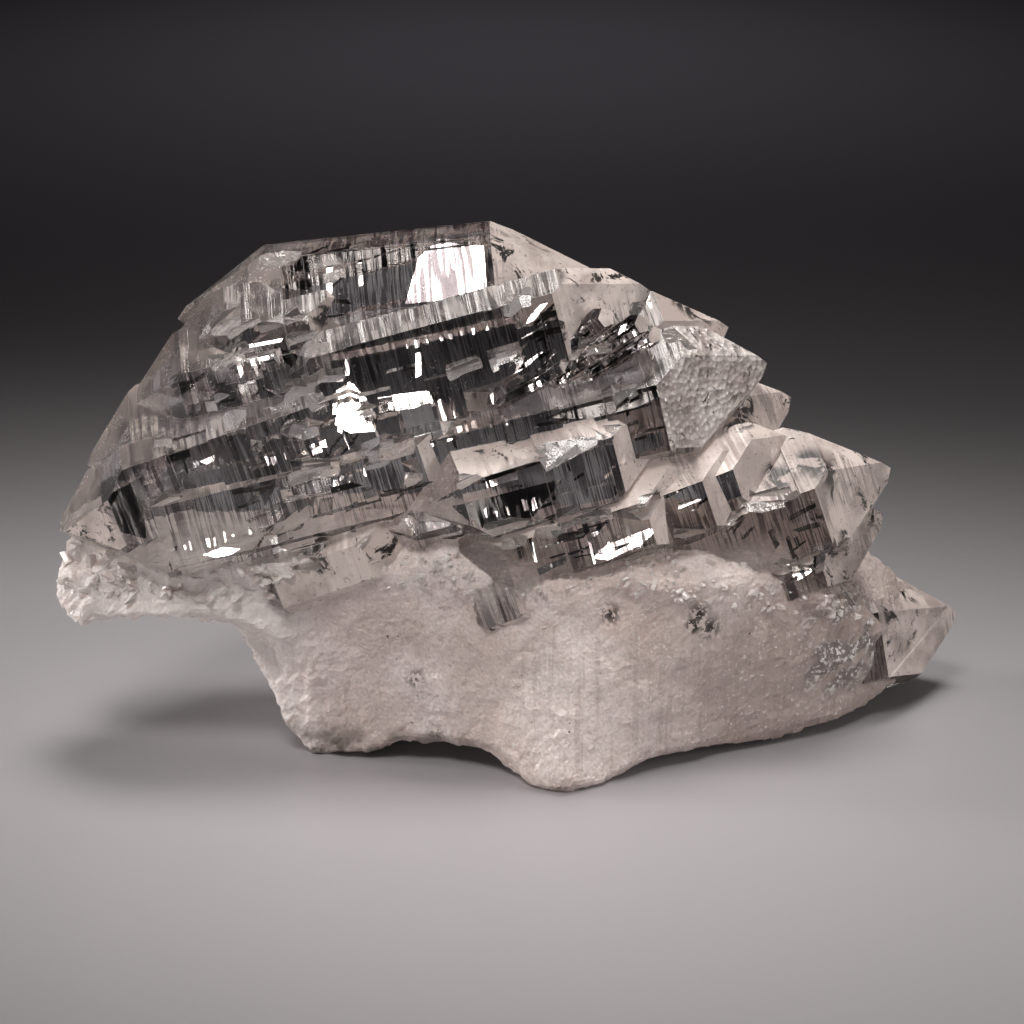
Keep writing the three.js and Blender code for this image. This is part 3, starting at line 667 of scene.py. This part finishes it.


# The large bright windows and some dark panes of painted shade: outline, how far behind the face, mirror reflectance
# (low values paint shade)
WINDOWS = (
    (((-9.7, 57.7), (-7.4, 60.2), (-4.9, 59.1), (-2.3, 59.1), (-2, 54.4), (-5.9, 53.7), (-11.1, 53.2)), 1.2, 1),
    (((-8.8, 61.8), (-2.4, 62), (-2.3, 59.2), (-5, 59.5), (-7.4, 60.4), (-9.2, 58.6)), 1, 0.12),
    (((-18.7, 44.3), (-17.3, 45.2), (-16, 43.9), (-14.2, 41.5), (-14.5, 39.9), (-17.2, 39.7), (-18.9, 40.6)), 1.5, 1),
    (((-14.2, 43.5), (-10, 44), (-7.5, 44.2), (-7.7, 43.2), (-10.1, 42.2), (-14, 41.8)), 1.6, 0.8),
    (((-7.5, 39.2), (-3.9, 42), (0, 44.3), (3.9, 45.7), (3.5, 44.3), (-0.5, 41.8), (-3.9, 40.1)), 1.2, 0.8),
    (((-26.6, 31.1), (-23, 34.4), (-17.1, 35.6), (-17.4, 33.7), (-20.8, 32.8), (-24.6, 31.6)), 1.5, 0.7),
    (((-24.5, 36.9), (-20.9, 38.2), (-20.4, 37.3), (-24, 35.9)), 1.2, 0.7),
    (((-2.3, 35.4), (1.1, 36.4), (1.4, 35.2), (-2, 34.4)), 1, 0.8), (((1.7, 29.6), (6.2, 31.1), (6.9, 30.4), (2.1, 28.6)), 1, 0.7),
    (((-11.5, 27.4), (-9.8, 29.9), (-5.9, 29.6), (-7.3, 28.1), (-9.6, 27.3)), 0.8, 1),
    (((-34, 26), (-31.8, 26.8), (-29.8, 26.6), (-30.1, 25.5), (-32.8, 25)), 0.8, 1),
    (((27.1, 19.6), (30.5, 20.8), (33.9, 22.5), (38.2, 24.4), (38.7, 23.3), (34, 20.9), (30.6, 19.1)), 1, 0.9),
    (((9.8, 25.7), (11.4, 27.1), (16.1, 28.8), (17.7, 29), (15.3, 27.1), (11.2, 25.2)), 0.8, 0.8),
    (((-27, 57.6), (-14, 60.6), (-10.4, 60.9), (-11.4, 58.9), (-17, 57.5), (-27, 55.4)), 0.4, 0.04),
    (((-22.4, 57.1), (-21.8, 57.2), (-21.9, 53.9), (-22.5, 53.9)), 0.8, 0.5), (((-19.9, 57.6), (-19.3, 57.8), (-19.3, 54.2), (-20, 53.9)), 0.8, 0.6),
    (((-16.5, 58.2), (-15.6, 58.5), (-15.7, 55.1), (-16.3, 54.8)), 1, 0.3), (((-17.7, 48), (-17.2, 48.1), (-17.3, 46.2), (-17.7, 46.1)), 1, 0.8),
    (((-9.9, 48.5), (-9.3, 48.7), (-9.3, 46.2), (-9.9, 45.9)), 1, 0.8),
    (((-33.7, 52.8), (-28.4, 54.1), (-22.8, 55.5), (-16.1, 57.3), (-9.8, 59.4), (-9.8, 57.9), (-16.1, 56.2), (-22.9, 54.5)), 0.6, 0.05),
    (((-35.6, 47.7), (-34.2, 48.4), (-31.4, 48.8), (-29.3, 48.7), (-29.7, 47.9), (-32.6, 47.2), (-34.7, 47)), 0.6, 0.06),
    (((4.3, 41), (10.6, 43.2), (17.3, 44.8), (20.6, 45.5), (20.6, 43.9), (15.1, 42.3), (9.5, 40.9)), 1, 0.05),
    (((-25.9, 48.7), (-21, 48.2), (-20.8, 45.5), (-22.8, 45.7), (-24.5, 47.1)), 0.8, 0.02),
    (((-45.3, 32.1), (-40.8, 34.5), (-39.9, 27.4), (-44.3, 26)), 1, 0.02), (((-5.6, 32.1), (6.2, 34.7), (6.7, 29.8), (-3.9, 28)), 1.4, 0.02),
)
panes = [pane(outline, behind, FRONT_BOX, reflectance_and_shade) for outline, behind, reflectance_and_shade in WINDOWS]

# Rows of narrow upright glints, where growth lines cut one bright crack into bars: from and to in
# X and Z, how many, each bar's greatest width and height, how far behind the face
GLINT_ROWS = (
    ((-7.6, 41), (3.8, 44.8), 11, 0.8, 2.4, 0.9), ((-8.4, 38.9), (1, 41.2), 8, 0.7, 1.2, 0.8),
    ((-20.4, 42.6), (-14.4, 42.2), 6, 0.7, 3, 1), ((-13.6, 42.6), (-7.8, 43.6), 6, 0.6, 1.4, 1),
    ((-24.8, 33), (-15.4, 35.6), 9, 0.7, 1, 0.8), ((-27.4, 36.4), (-20, 38.4), 6, 0.7, 0.9, 0.8),
    ((26.8, 20.4), (39.6, 25.2), 14, 0.6, 1.3, 0.7), ((-38, 26.6), (-28, 28.6), 8, 0.5, 0.9, 0.6),
    ((9, 26.2), (18, 29), 7, 0.6, 1.2, 0.7), ((-5.4, 30), (4.2, 32.4), 8, 0.6, 1.8, 0.8),
    ((6, 47), (17, 51), 9, 0.5, 1.1, 0.6), ((-12, 49.4), (-1, 51.4), 8, 0.5, 0.8, 0.8),
)
for (x0, z0), (x1, z1), count, width, height, behind in GLINT_ROWS:
    slope = math.degrees(math.atan2(z1 - z0, x1 - x0))
    for i in range(count):
        part = (i + cracking.uniform(0, 1)) / count
        lift = cracking.uniform(-0.3, 0.3) * height
        outline = ragged(x0 + (x1 - x0) * part, z0 + (z1 - z0) * part + lift, width * cracking.uniform(0.35, 1.5),
                         height * cracking.uniform(0.5, 1.7), slope, 4)
        panes.append(pane(outline, behind, FRONT_BOX, cracking.choice((1, 1, 0.7, 0.4, 0.1))))
# Smaller cracks at random behind the clear faces, some of them turned to a lamp
LAMPS = (FRONT_BOX, FRONT_BOX, TOP_BOX, LEFT_BOX, RIGHT_BOX)
PANE_COUNT = 330
while len(panes) < PANE_COUNT:
    x, z = cracking.uniform(-48, 46), cracking.uniform(18, 60)
    spot = Vector((x, 0, z)) * MM + GROWING_FRAME
    hit, normal, index, _ = crystal_tree.ray_cast(Vector((spot.x, -0.1, spot.z)), Vector((0, 1, 0)))
    if hit is None or crystals.data.polygons[index].material_index != PRISM or is_clean(x, z):
        continue
    on_crown = x < 0 and z > 54 + 0.11 * x
    axis = face_axis[index].vector
    slope = math.degrees(math.atan2(axis[2], axis[0]))
    kind = cracking.random()
    if kind < 0.45:
        outline = ragged(x, z, cracking.uniform(2, 8), cracking.uniform(0.25, 1.1), slope + cracking.uniform(-5, 5), 4)
    elif kind < 0.8:
        outline = ragged(x, z, cracking.uniform(0.25, 0.8), cracking.uniform(1.6, 4.5), slope, 4)
    else:
        outline = ragged(x, z, cracking.uniform(2, 5), cracking.uniform(0.3, 0.9), 45 + cracking.uniform(-12, 12), 5)
    if cracking.random() < (0 if on_crown else 0.4):
        lean = cracking.choice(LAMPS)
    else:
        lean = (cracking.uniform(-35, 55), cracking.uniform(-35, 35))
    panes.append(pane(outline, cracking.uniform(0.6, 6), lean, cracking.choice((1, 0.6, 0.3, 0.15))))
# The shattered patch under the crown's tip
for _ in range(60):
    x, z = cracking.uniform(1, 17), cracking.uniform(44, 54)
    panes.append(pane(ragged(x, z, cracking.uniform(1.6, 5), cracking.uniform(0.2, 0.8), cracking.uniform(25, 60), 5),
                      cracking.uniform(0.3, 3), cracking.choice((FRONT_BOX, TOP_BOX, (cracking.uniform(-35, 55), 10))),
                      cracking.choice((1, 0.6, 0.2))))
panes = [sheet for sheet in panes if sheet]
select_only(panes[0])
for sheet in panes:
    sheet.select_set(True)
bpy.ops.object.join()
fractures = panes[0]
fractures.name = fractures.data.name = "inner_fractures"
gap = fractures.modifiers.new("gap", "SOLIDIFY")
gap.thickness = 0.02 * MM
gap.offset = 0
bpy.ops.object.modifier_apply(modifier=gap.name)
crack_coat = bpy.data.materials.new("air_in_cracks")
fractures.data.materials.append(crack_coat)
tree, mirror, out = new_nodes(crack_coat)
place = node(tree, "ShaderNodeTexCoord").outputs["Object"]
reflectance_and_shade = node(tree, "ShaderNodeAttribute", attribute_name="pane_reflectance_and_shade", attribute_type="GEOMETRY").outputs["Fac"]
drawn = node(tree, "ShaderNodeGroup", node_tree=lines)
# Painted shade: the mirror is darkened along the growth lines and on the low-reflectance panes
striped_shade = maths(tree, "MAXIMUM", ramp(tree, drawn.outputs["Painted Shade Lines"], 0, 1, 1, 0.06), ramp(tree, reflectance_and_shade, 0.9, 0.98, 0, 0.45))
tree.links.new(blend(tree, maths(tree, "MULTIPLY", reflectance_and_shade, striped_shade), (0.0, 0.0, 0.0, 1), (1, 0.95, 0.92, 1)),
               mirror.inputs["Base Color"])
mirror.inputs["Metallic"].default_value = 1
tree.links.new(ramp(tree, noise_at(tree, place, 350, 2), 0.4, 0.7, 0.02, 0.14), mirror.inputs["Roughness"])
tree.links.new(bump(tree, noise_at(tree, place, 420, 2, 0.5, 0.8), 0.05 * MM, 0.12), mirror.inputs["Normal"])
patchy = ramp(tree, noise_at(tree, place, 260, 4, 0.6), 0.36, 0.5, 0.4, 1.0)
tree.links.new(maths(tree, "MAXIMUM", patchy, ramp(tree, reflectance_and_shade, 0.65, 0.7)), mirror.inputs["Alpha"])
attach(fractures, "root")
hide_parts("quartz_crystal")

# Milky root
# The cloudy foot that the crystals grew from, rough and broken underneath.
ROOT_SECTIONS = (
    (-31.6, -3.4, -5, 6, 15.6, 16, 22), (-28, -4.8, -6.4, 10, 8.4, 10, 24),
    (-25.4, -5.4, -7.4, 13, 3, 6, 25.6), (-22, -6.4, -8.4, 13.6, -0.5, 0.6, 26.4),
    (-17.6, -6.8, -9.2, 14.6, -0.4, -0.6, 26.8), (-12.6, -7.8, -9.8, 16.6, 1.6, 1.2, 27),
    (-7, -9.2, -10.6, 18, 2.2, 4.4, 27), (-1.6, -12, -11.4, 18.6, 2, 4.6, 26.6),
    (3, -16, -11.6, 19, -0.4, 4, 26), (7, -17.6, -11.4, 19.6, -0.6, 3, 25.4),
    (11, -15.6, -11, 20, -0.3, 1.6, 25.4), (16, -12, -10.2, 20.6, 1.2, 0.6, 25),
    (21.6, -9.2, -8.8, 20.8, 1.3, -0.5, 24.6), (27, -6.4, -7.2, 20.8, 0.7, -0.6, 24),
    (32.4, -3.6, -5, 20.6, 0.5, -0.4, 22.6), (37.6, -0.4, -2.6, 20.4, 0.8, 1, 20),
    (42.4, 3.4, 1.6, 20, 1.5, 2, 16.4), (46.6, 7.4, 6, 19.6, 2.6, 3.2, 13),
    (50.6, 12, 11, 17.6, 4.2, 4.8, 9.6),
)
LEDGE_SECTIONS = (
    (-51.6, -4.2, -4, -0.6, 17.2, 17.4, 20.4), (-50.2, -5.4, -4.6, 3, 15.7, 16.4, 22.6),
    (-47, -6.6, -5, 6, 16, 16.4, 23.8), (-42.6, -7.6, -6, 8, 17, 16.6, 24.4),
    (-38, -8, -7, 9, 17.2, 16.4, 25), (-33, -8.2, -7.8, 9.6, 16.8, 15.8, 25.4),
    (-28, -8.2, -8.6, 10, 15, 14, 25.6), (-22, -8, -9, 10, 13, 13, 26),
)


def unevenness(seed):
    wave = math.sin(seed * 12.9898) * 43758.5453
    return 2 * (wave - math.floor(wave)) - 1


def rough_rock(name, sections, roughness, seed):
    """Rough rock drawn through upright sections along X, as the solid has it."""
    rows = []
    for i, (x, foot, brow, back, low_front, low_back, top) in enumerate(sections):
        def lean(part):
            return foot + (brow - foot) * part

        def rise(part):
            return low_front + (top - low_front) * part

        shoulder = min(4, 0.3 * (top - low_back))
        heel = min(3, 0.25 * (top - low_back))
        ridge = min(4, 0.4 * (back - brow))
        ring = (
            (foot + 1.2, low_front), (foot, low_front + heel / 2), (lean(0.3), rise(0.3)), (lean(0.6), rise(0.5)),
            (lean(0.85), rise(0.72)), (brow, rise(0.9)), (brow + 3, top), ((brow + back) / 2, top + ridge),
            (back - 3, top), (back, top - shoulder), (back + 0.6, (top + low_back) / 2), (back - 0.8, low_back + heel),
            (back - 3.4, low_back), (back * 0.6 + foot * 0.4, low_back + 0.3),
            (back * 0.25 + foot * 0.75, low_front + 0.8),
        )
        row = []
        for j, (y, z) in enumerate(ring):
            n = seed + i * 31.7 + j * 7.3
            lift = roughness * unevenness(n + 0.71) if z - low_front > 1 else 0
            row.append(Vector((x + 0.8 * roughness * unevenness(n), y + roughness * unevenness(n + 0.37), z + lift)))
        rows.append(row)
    count = len(rows[0])
    bpy.ops.object.select_all(action="DESELECT")
    bpy.ops.mesh.primitive_cylinder_add(vertices=count, radius=1, depth=len(rows) - 1, end_fill_type="TRIFAN")
    piece = bpy.context.object
    bpy.ops.object.mode_set(mode="EDIT")
    bpy.ops.mesh.select_mode(type="EDGE")
    cage = bmesh.from_edit_mesh(piece.data)
    for edge in cage.edges:
        edge.select_set(abs(edge.verts[0].co.z - edge.verts[1].co.z) > 0.5)
    bmesh.update_edit_mesh(piece.data)
    bpy.ops.mesh.subdivide(number_cuts=len(rows) - 2)
    bpy.ops.object.mode_set(mode="OBJECT")
    for vert in piece.data.vertices:
        i = round(vert.co.z + (len(rows) - 1) / 2)
        if vert.co.xy.length < 0.5:
            vert.co = sum(rows[i], Vector()) / count * MM + GROWING_FRAME
        else:
            j = round(math.atan2(vert.co.y, vert.co.x) / (2 * math.pi) * count) % count
            vert.co = rows[i][j] * MM + GROWING_FRAME
    piece.name = piece.data.name = name
    bpy.ops.object.mode_set(mode="EDIT")
    bpy.ops.mesh.select_all(action="SELECT")
    bpy.ops.mesh.normals_make_consistent(inside=False)
    bpy.ops.object.mode_set(mode="OBJECT")
    return piece


root = rough_rock("milky_root", ROOT_SECTIONS, 0.75, 3)
ledge = rough_rock("ledge", LEDGE_SECTIONS, 0.6, 71)
NODULES = (
    ((-36, -6, 16.4), (-34.4, -6.4, 15.6), (-33.4, -5.4, 16.4), (-34, -7.2, 18.4), (-37, -6, 18.6), (-34, -2, 18)),
    ((-39.6, -7, 16.8), (-38.2, -7, 16.6), (-37.4, -6, 18.6), (-41, -6, 18.6), (-39, -8.4, 18.8), (-39, -3, 18)),
    ((-43.4, -6.6, 16.8), (-42, -7, 16.2), (-41.4, -6, 18.2), (-44.6, -5.6, 18), (-42.6, -8, 18.4), (-43, -3, 18)),
    ((-52, -3.6, 19.6), (-52.4, -2.4, 18), (-50.6, -4.8, 19.4), (-50, -2, 16.6), (-49, -5, 18), (-49, 0, 20)),
    ((-49.6, -5.6, 16.2), (-48.4, -6, 15.2), (-47, -5.6, 16.4), (-48.4, -7, 18.4), (-50, -3, 18), (-46.6, -3, 18.4)),
)
lumps = [ledge]
for corners in NODULES:
    bpy.ops.object.select_all(action="DESELECT")
    bpy.ops.mesh.primitive_cone_add(vertices=5, radius1=1, depth=1)
    nodule = bpy.context.object
    for vert, corner in zip(nodule.data.vertices, corners):
        vert.co = Vector(corner) * MM + GROWING_FRAME
    bpy.ops.object.mode_set(mode="EDIT")
    bpy.ops.mesh.select_all(action="SELECT")
    bpy.ops.mesh.convex_hull()
    bpy.ops.mesh.normals_make_consistent(inside=False)
    bpy.ops.object.mode_set(mode="OBJECT")
    lumps.append(nodule)
select_only(root)
for piece in lumps:
    piece.select_set(True)
bpy.ops.object.join()
GRAIN_SIZE = 0.6
grain = root.modifiers.new("grain", "REMESH")
grain.mode = "VOXEL"
grain.voxel_size = GRAIN_SIZE * MM
bpy.ops.object.modifier_apply(modifier=grain.name)
worn = root.modifiers.new("worn", "SMOOTH")
worn.iterations = 1
bpy.ops.object.modifier_apply(modifier=worn.name)

# The break is uneven at every scale, and rougher along the ledge
outward = [vert.normal.copy() for vert in root.data.vertices]
for vert, normal in zip(root.data.vertices, outward):
    at = vert.co / MM
    on_ledge = max(0, min(1, (-18 - at.x) / 6))
    wide = noise.fractal(at * 0.22, 1, 2, 3)
    tight = noise.noise(at * 1.1) + 0.5 * noise.noise(at * 2.3)
    facet = noise.cell(at * 0.45)
    sink = 0.4 * abs(wide) + 0.24 * abs(tight) + 0.16 * facet + on_ledge * 0.5 * abs(noise.noise(at * 0.9))
    vert.co -= normal * sink * MM
    vert.co.z = max(vert.co.z, 0)
print("root", len(root.data.polygons))

milky_coat = bpy.data.materials.new("milky_quartz")
tree, milky, out = new_nodes(milky_coat)
place = node(tree, "ShaderNodeTexCoord").outputs["Object"]
apart = node(tree, "ShaderNodeSeparateXYZ")
tree.links.new(place, apart.inputs[0])
across_x, up_z = apart.outputs[0], apart.outputs[2]
cloud = noise_at(tree, place, 75, 3, 0.55)
sugar = noise_at(tree, place, 2600, 3, 0.7)
body = blend(tree, ramp(tree, cloud, 0.36, 0.62), (0.82, 0.69, 0.65, 1), (1, 0.9, 0.87, 1))
veins = ramp(tree, noise_at(tree, place, 210, 5, 0.65, 1.2), 0.52, 0.62, 0.0, 0.3)
body = blend(tree, veins, body, (0.58, 0.46, 0.42, 1))
# Painted shade: the root is darker towards the right end and low down, where less light falls
painted_shade_right = maths(tree, "MULTIPLY", ramp(tree, across_x, 0.006, 0.026), ramp(tree, up_z, 0.024, 0.012))
body = blend(tree, maths(tree, "MULTIPLY", painted_shade_right, 0.75), body, (0.42, 0.33, 0.3, 1))
body = blend(tree, ramp(tree, sugar, 0.44, 0.62, 0.0, 0.28), body, (0.42, 0.34, 0.31, 1))
body = blend(tree, ramp(tree, noise_at(tree, place, 2300, 2, 0.6), 0.62, 0.68, 0.0, 0.7), body, (1, 0.95, 0.93, 1))


# Faint darker upright streaks, clearest low on the right where the painted shade falls
streak_spot = node(tree, "ShaderNodeMapping")
tree.links.new(place, streak_spot.inputs["Vector"])
streak_spot.inputs["Scale"].default_value = (1400, 120, 60)
streak_spot.inputs["Rotation"].default_value = (0, math.radians(12), 0)
streak = ramp(tree, noise_at(tree, streak_spot.outputs[0], 1.0, 2), 0.48, 0.66, 0.0, 0.32)
streak = maths(tree, "MULTIPLY", streak, maths(tree, "MAXIMUM", painted_shade_right, ramp(tree, noise_at(tree, place, 60, 1), 0.45, 0.6)))
body = blend(tree, streak, body, (0.4, 0.32, 0.29, 1))
# Dark grains, in one cluster on the right and a few small spots
grains = noise_at(tree, place, 1500, 3, 0.65)
clusters = near(tree, place, (19.9, -11.3, 17), 0.5, 0.9)
for at in ((22, -10.9, 16.5), (20.6, -11.2, 18.2), (10.1, -13.3, 19.2), (-11.5, -11.3, 10.7), (-8.4, -11.4, 15.4), (-9.3, -10.8, 4.2), (4.4, -18.6, 1.4)):
    clusters = maths(tree, "MAXIMUM", clusters, near(tree, place, at, 0.3, 1.7))
loose = maths(tree, "MULTIPLY", ramp(tree, grains, 0.68, 0.7), ramp(tree, noise_at(tree, place, 130, 2), 0.56, 0.64))
grain_mask = maths(tree, "MAXIMUM", maths(tree, "MULTIPLY", ramp(tree, grains, 0.47, 0.52), clusters), loose)
body = blend(tree, grain_mask, body, (0.035, 0.03, 0.028, 1))
# Glittering broken patch near the right end, greyer than the rest, with painted white glints
glitz = maths(tree, "MULTIPLY", near(tree, place, (37.8, -1.8, 11.7), 4, 5), ramp(tree, noise_at(tree, place, 260, 3), 0.42, 0.55))
body = blend(tree, maths(tree, "MULTIPLY", glitz, 0.75), body, (0.22, 0.2, 0.2, 1))
# Painted highlights: small white glints in the patch
painted_glints = maths(tree, "MULTIPLY", glitz, ramp(tree, noise_at(tree, place, 1500, 3, 0.6), 0.52, 0.58))
body = blend(tree, painted_glints, body, (1, 0.98, 0.97, 1))
# Painted light: the ledge and everything left of it are lightened, making up for the shade of the crystals above
painted_light_on_ledge = ramp(tree, across_x, -0.02, -0.03, 0, 0.75)
body = blend(tree, painted_light_on_ledge, body, (1, 0.95, 0.93, 1))
# Darker grey patches low on the left foot
low_down = maths(tree, "MULTIPLY", ramp(tree, up_z, 0.006, 0.001), ramp(tree, across_x, 0.004, -0.012))
darker_low_left = maths(tree, "MULTIPLY", low_down, ramp(tree, noise_at(tree, place, 350, 3), 0.35, 0.6))
body = blend(tree, darker_low_left, body, (0.2, 0.17, 0.15, 1))
tree.links.new(body, milky.inputs["Base Color"])
shine = maths(tree, "MAXIMUM", ramp(tree, noise_at(tree, place, 120, 2), 0.45, 0.62), glitz)
tree.links.new(ramp(tree, shine, 0, 1, 0.5, 0.16), milky.inputs["Roughness"])
facets = node(tree, "ShaderNodeTexVoronoi")
facets.inputs["Scale"].default_value = 2200
tree.links.new(place, facets.inputs["Vector"])
grid = maths(tree, "MULTIPLY", facets.outputs["Distance"], maths(tree, "ADD", maths(tree, "MULTIPLY", glitz, 1.5), 1))
tree.links.new(bump(tree, sugar, 0.08 * MM, 0.9, bump(tree, grid, 0.14 * MM, 0.8)), milky.inputs["Normal"])
milky.subsurface_method = "BURLEY"
milky.inputs["Subsurface Weight"].default_value = 0.45
milky.inputs["Subsurface Radius"].default_value = (1.0, 0.75, 0.62)
milky.inputs["Subsurface Scale"].default_value = 1.3 * MM
milky.inputs["IOR"].default_value = 1.54
root.data.materials.clear()
root.data.materials.append(milky_coat)
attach(root, "root")
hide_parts("quartz_crystal")

# Small points
# Little quartz points and splinters that grew over the ledge and along the line where the clear
# crystals leave the milky root, each one set a little way into it.
growing = random.Random(31)
root_tree = BVHTree.FromPolygons([vert.co.copy() for vert in root.data.vertices],
                                 [tuple(face.vertices) for face in root.data.polygons])
points = []
while len(points) < 420:
    x = growing.uniform(-51, 42)
    line = 24.5 - 0.0035 * (x + 5) ** 2 if x > -30 else 22.5
    z = line + growing.uniform(-2.6, 2.2)
    start = Vector((x, 0, z)) * MM + GROWING_FRAME
    hit, normal, _, _ = root_tree.ray_cast(Vector((start.x, -0.1, start.z)), Vector((0, 1, 0)))
    seen = crystal_tree.ray_cast(Vector((start.x, -0.1, start.z)), Vector((0, 1, 0)))[0]
    if hit is None or (seen is not None and seen.y < hit.y - 0.6 * MM):
        points.append(None)
        continue
    width = growing.uniform(0.4, 1.3) if x < -20 else growing.uniform(0.25, 0.8)
    length = width * growing.uniform(1.4, 2.8)
    bpy.ops.object.select_all(action="DESELECT")
    bpy.ops.mesh.primitive_cone_add(vertices=6, radius1=width * MM, radius2=width * 0.2 * MM, depth=length * MM)
    tip = bpy.context.object
    for vert in tip.data.vertices:
        if vert.co.z > 0:
            vert.co.x += growing.uniform(-0.3, 0.3) * width * MM
        else:
            vert.co.xy *= growing.uniform(0.8, 1.1)
    lean = (normal + Vector((growing.uniform(-1, 1), growing.uniform(-0.3, 0.3), growing.uniform(-0.6, 0.9)))).normalized()
    tip.data.transform(Matrix.Translation(hit - normal * 0.15 * MM) @ lean.to_track_quat("Z", "Y").to_matrix().to_4x4())
    points.append(tip)
points = [tip for tip in points if tip]
select_only(points[0])
for tip in points:
    tip.select_set(True)
bpy.ops.object.join()
druse = points[0]
druse.name = druse.data.name = "small_points"
druse.data.materials.clear()
druse_coat = bpy.data.materials.new("small_point_quartz")
tree, icy, out = new_nodes(druse_coat)
place = node(tree, "ShaderNodeTexCoord").outputs["Object"]
edge = node(tree, "ShaderNodeGroup", node_tree=edge_wear_and_highlight).outputs["Edge"]
haze = blend(tree, ramp(tree, noise_at(tree, place, 500, 3), 0.4, 0.6), (1, 0.95, 0.93, 1), (0.8, 0.7, 0.67, 1))
tree.links.new(blend(tree, edge, haze, (1, 0.98, 0.97, 1)), icy.inputs["Base Color"])
tree.links.new(ramp(tree, noise_at(tree, place, 900, 2), 0.4, 0.6, 0.06, 0.3), icy.inputs["Roughness"])
tree.links.new(bump(tree, noise_at(tree, place, 2200, 2), 0.04 * MM, 0.7), icy.inputs["Normal"])
icy.inputs["Transmission Weight"].default_value = 0.1
icy.inputs["IOR"].default_value = 1.544
druse.data.materials.append(druse_coat)
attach(druse, "root")
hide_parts("quartz_crystal")

# Floor, light and camera
# The specimen stands on a plain pale floor that falls off into a dim studio. Soft boxes hang
# above and in front of it, and two narrow ones stand at the sides.
bpy.ops.object.select_all(action="DESELECT")
bpy.ops.mesh.primitive_circle_add(vertices=96, radius=1.5, fill_type="NGON", location=(0, 0.0, 0))
floor = bpy.context.object
floor.name = "floor"
floor_coat = bpy.data.materials.new("pale_floor")
tree, pale, out = new_nodes(floor_coat)
pale.inputs["Base Color"].default_value = (0.42, 0.41, 0.43, 1)
pale.inputs["Roughness"].default_value = 0.4
floor.data.materials.append(floor_coat)

bpy.context.scene.view_settings.view_transform = "Standard"
world = bpy.data.worlds.new("studio")
bpy.context.scene.world = world
world.use_nodes = True
world.node_tree.nodes["Background"].inputs["Color"].default_value = (0.013, 0.011, 0.012, 1)


def softbox(name, at, towards, size, radiance, spread=180, colour=(1, 0.95, 0.91)):
    lamp = bpy.data.lights.new(name, "AREA")
    lamp.shape = "RECTANGLE"
    lamp.size, lamp.size_y = size
    lamp.energy = 4 * size[0] * size[1] * radiance
    lamp.spread = math.radians(spread)
    lamp.color = colour
    box = bpy.data.objects.new(name, lamp)
    bpy.context.scene.collection.objects.link(box)
    box.location = at
    box.rotation_euler = (Vector(towards) - Vector(at)).to_track_quat("-Z", "Y").to_euler()
    return box


softbox("overhead", (0.02, 0.05, 0.34), (0, -0.01, 0.03), (0.22, 0.1), 0.9, 45)
softbox("front_top", (-0.08, -0.22, 0.40), (0, -0.01, 0.03), (0.17, 0.12), 0.62, 40)
softbox("fill", (-0.12, -0.42, 0.1), (0, 0, 0.02), (0.3, 0.16), 0.17, 60)
softbox("left", (-0.34, 0.04, 0.12), (0, 0, 0.05), (0.05, 0.2), 1.3, 40)
softbox("right", (0.34, -0.06, 0.14), (0, 0, 0.04), (0.04, 0.2), 0.6, 40)
softbox("backdrop_glow", (0.0, 0.62, 0.5), (0.0, 0.5, 0), (0.14, 0.3), 0.17, 55, (0.95, 0.93, 1))

camera = bpy.data.cameras.new("camera")
camera.lens = 100
camera.sensor_width = 36
camera.clip_start = 0.01
viewer = bpy.data.objects.new("camera", camera)
bpy.context.scene.collection.objects.link(viewer)
look = Vector((0, math.cos(math.radians(18)), -math.sin(math.radians(18))))
viewer.location = Vector((0.0008, 0, 0.02781)) + GROWING_FRAME - look * 0.3285
viewer.rotation_euler = look.to_track_quat("-Z", "Y").to_euler()
bpy.context.scene.camera = viewer
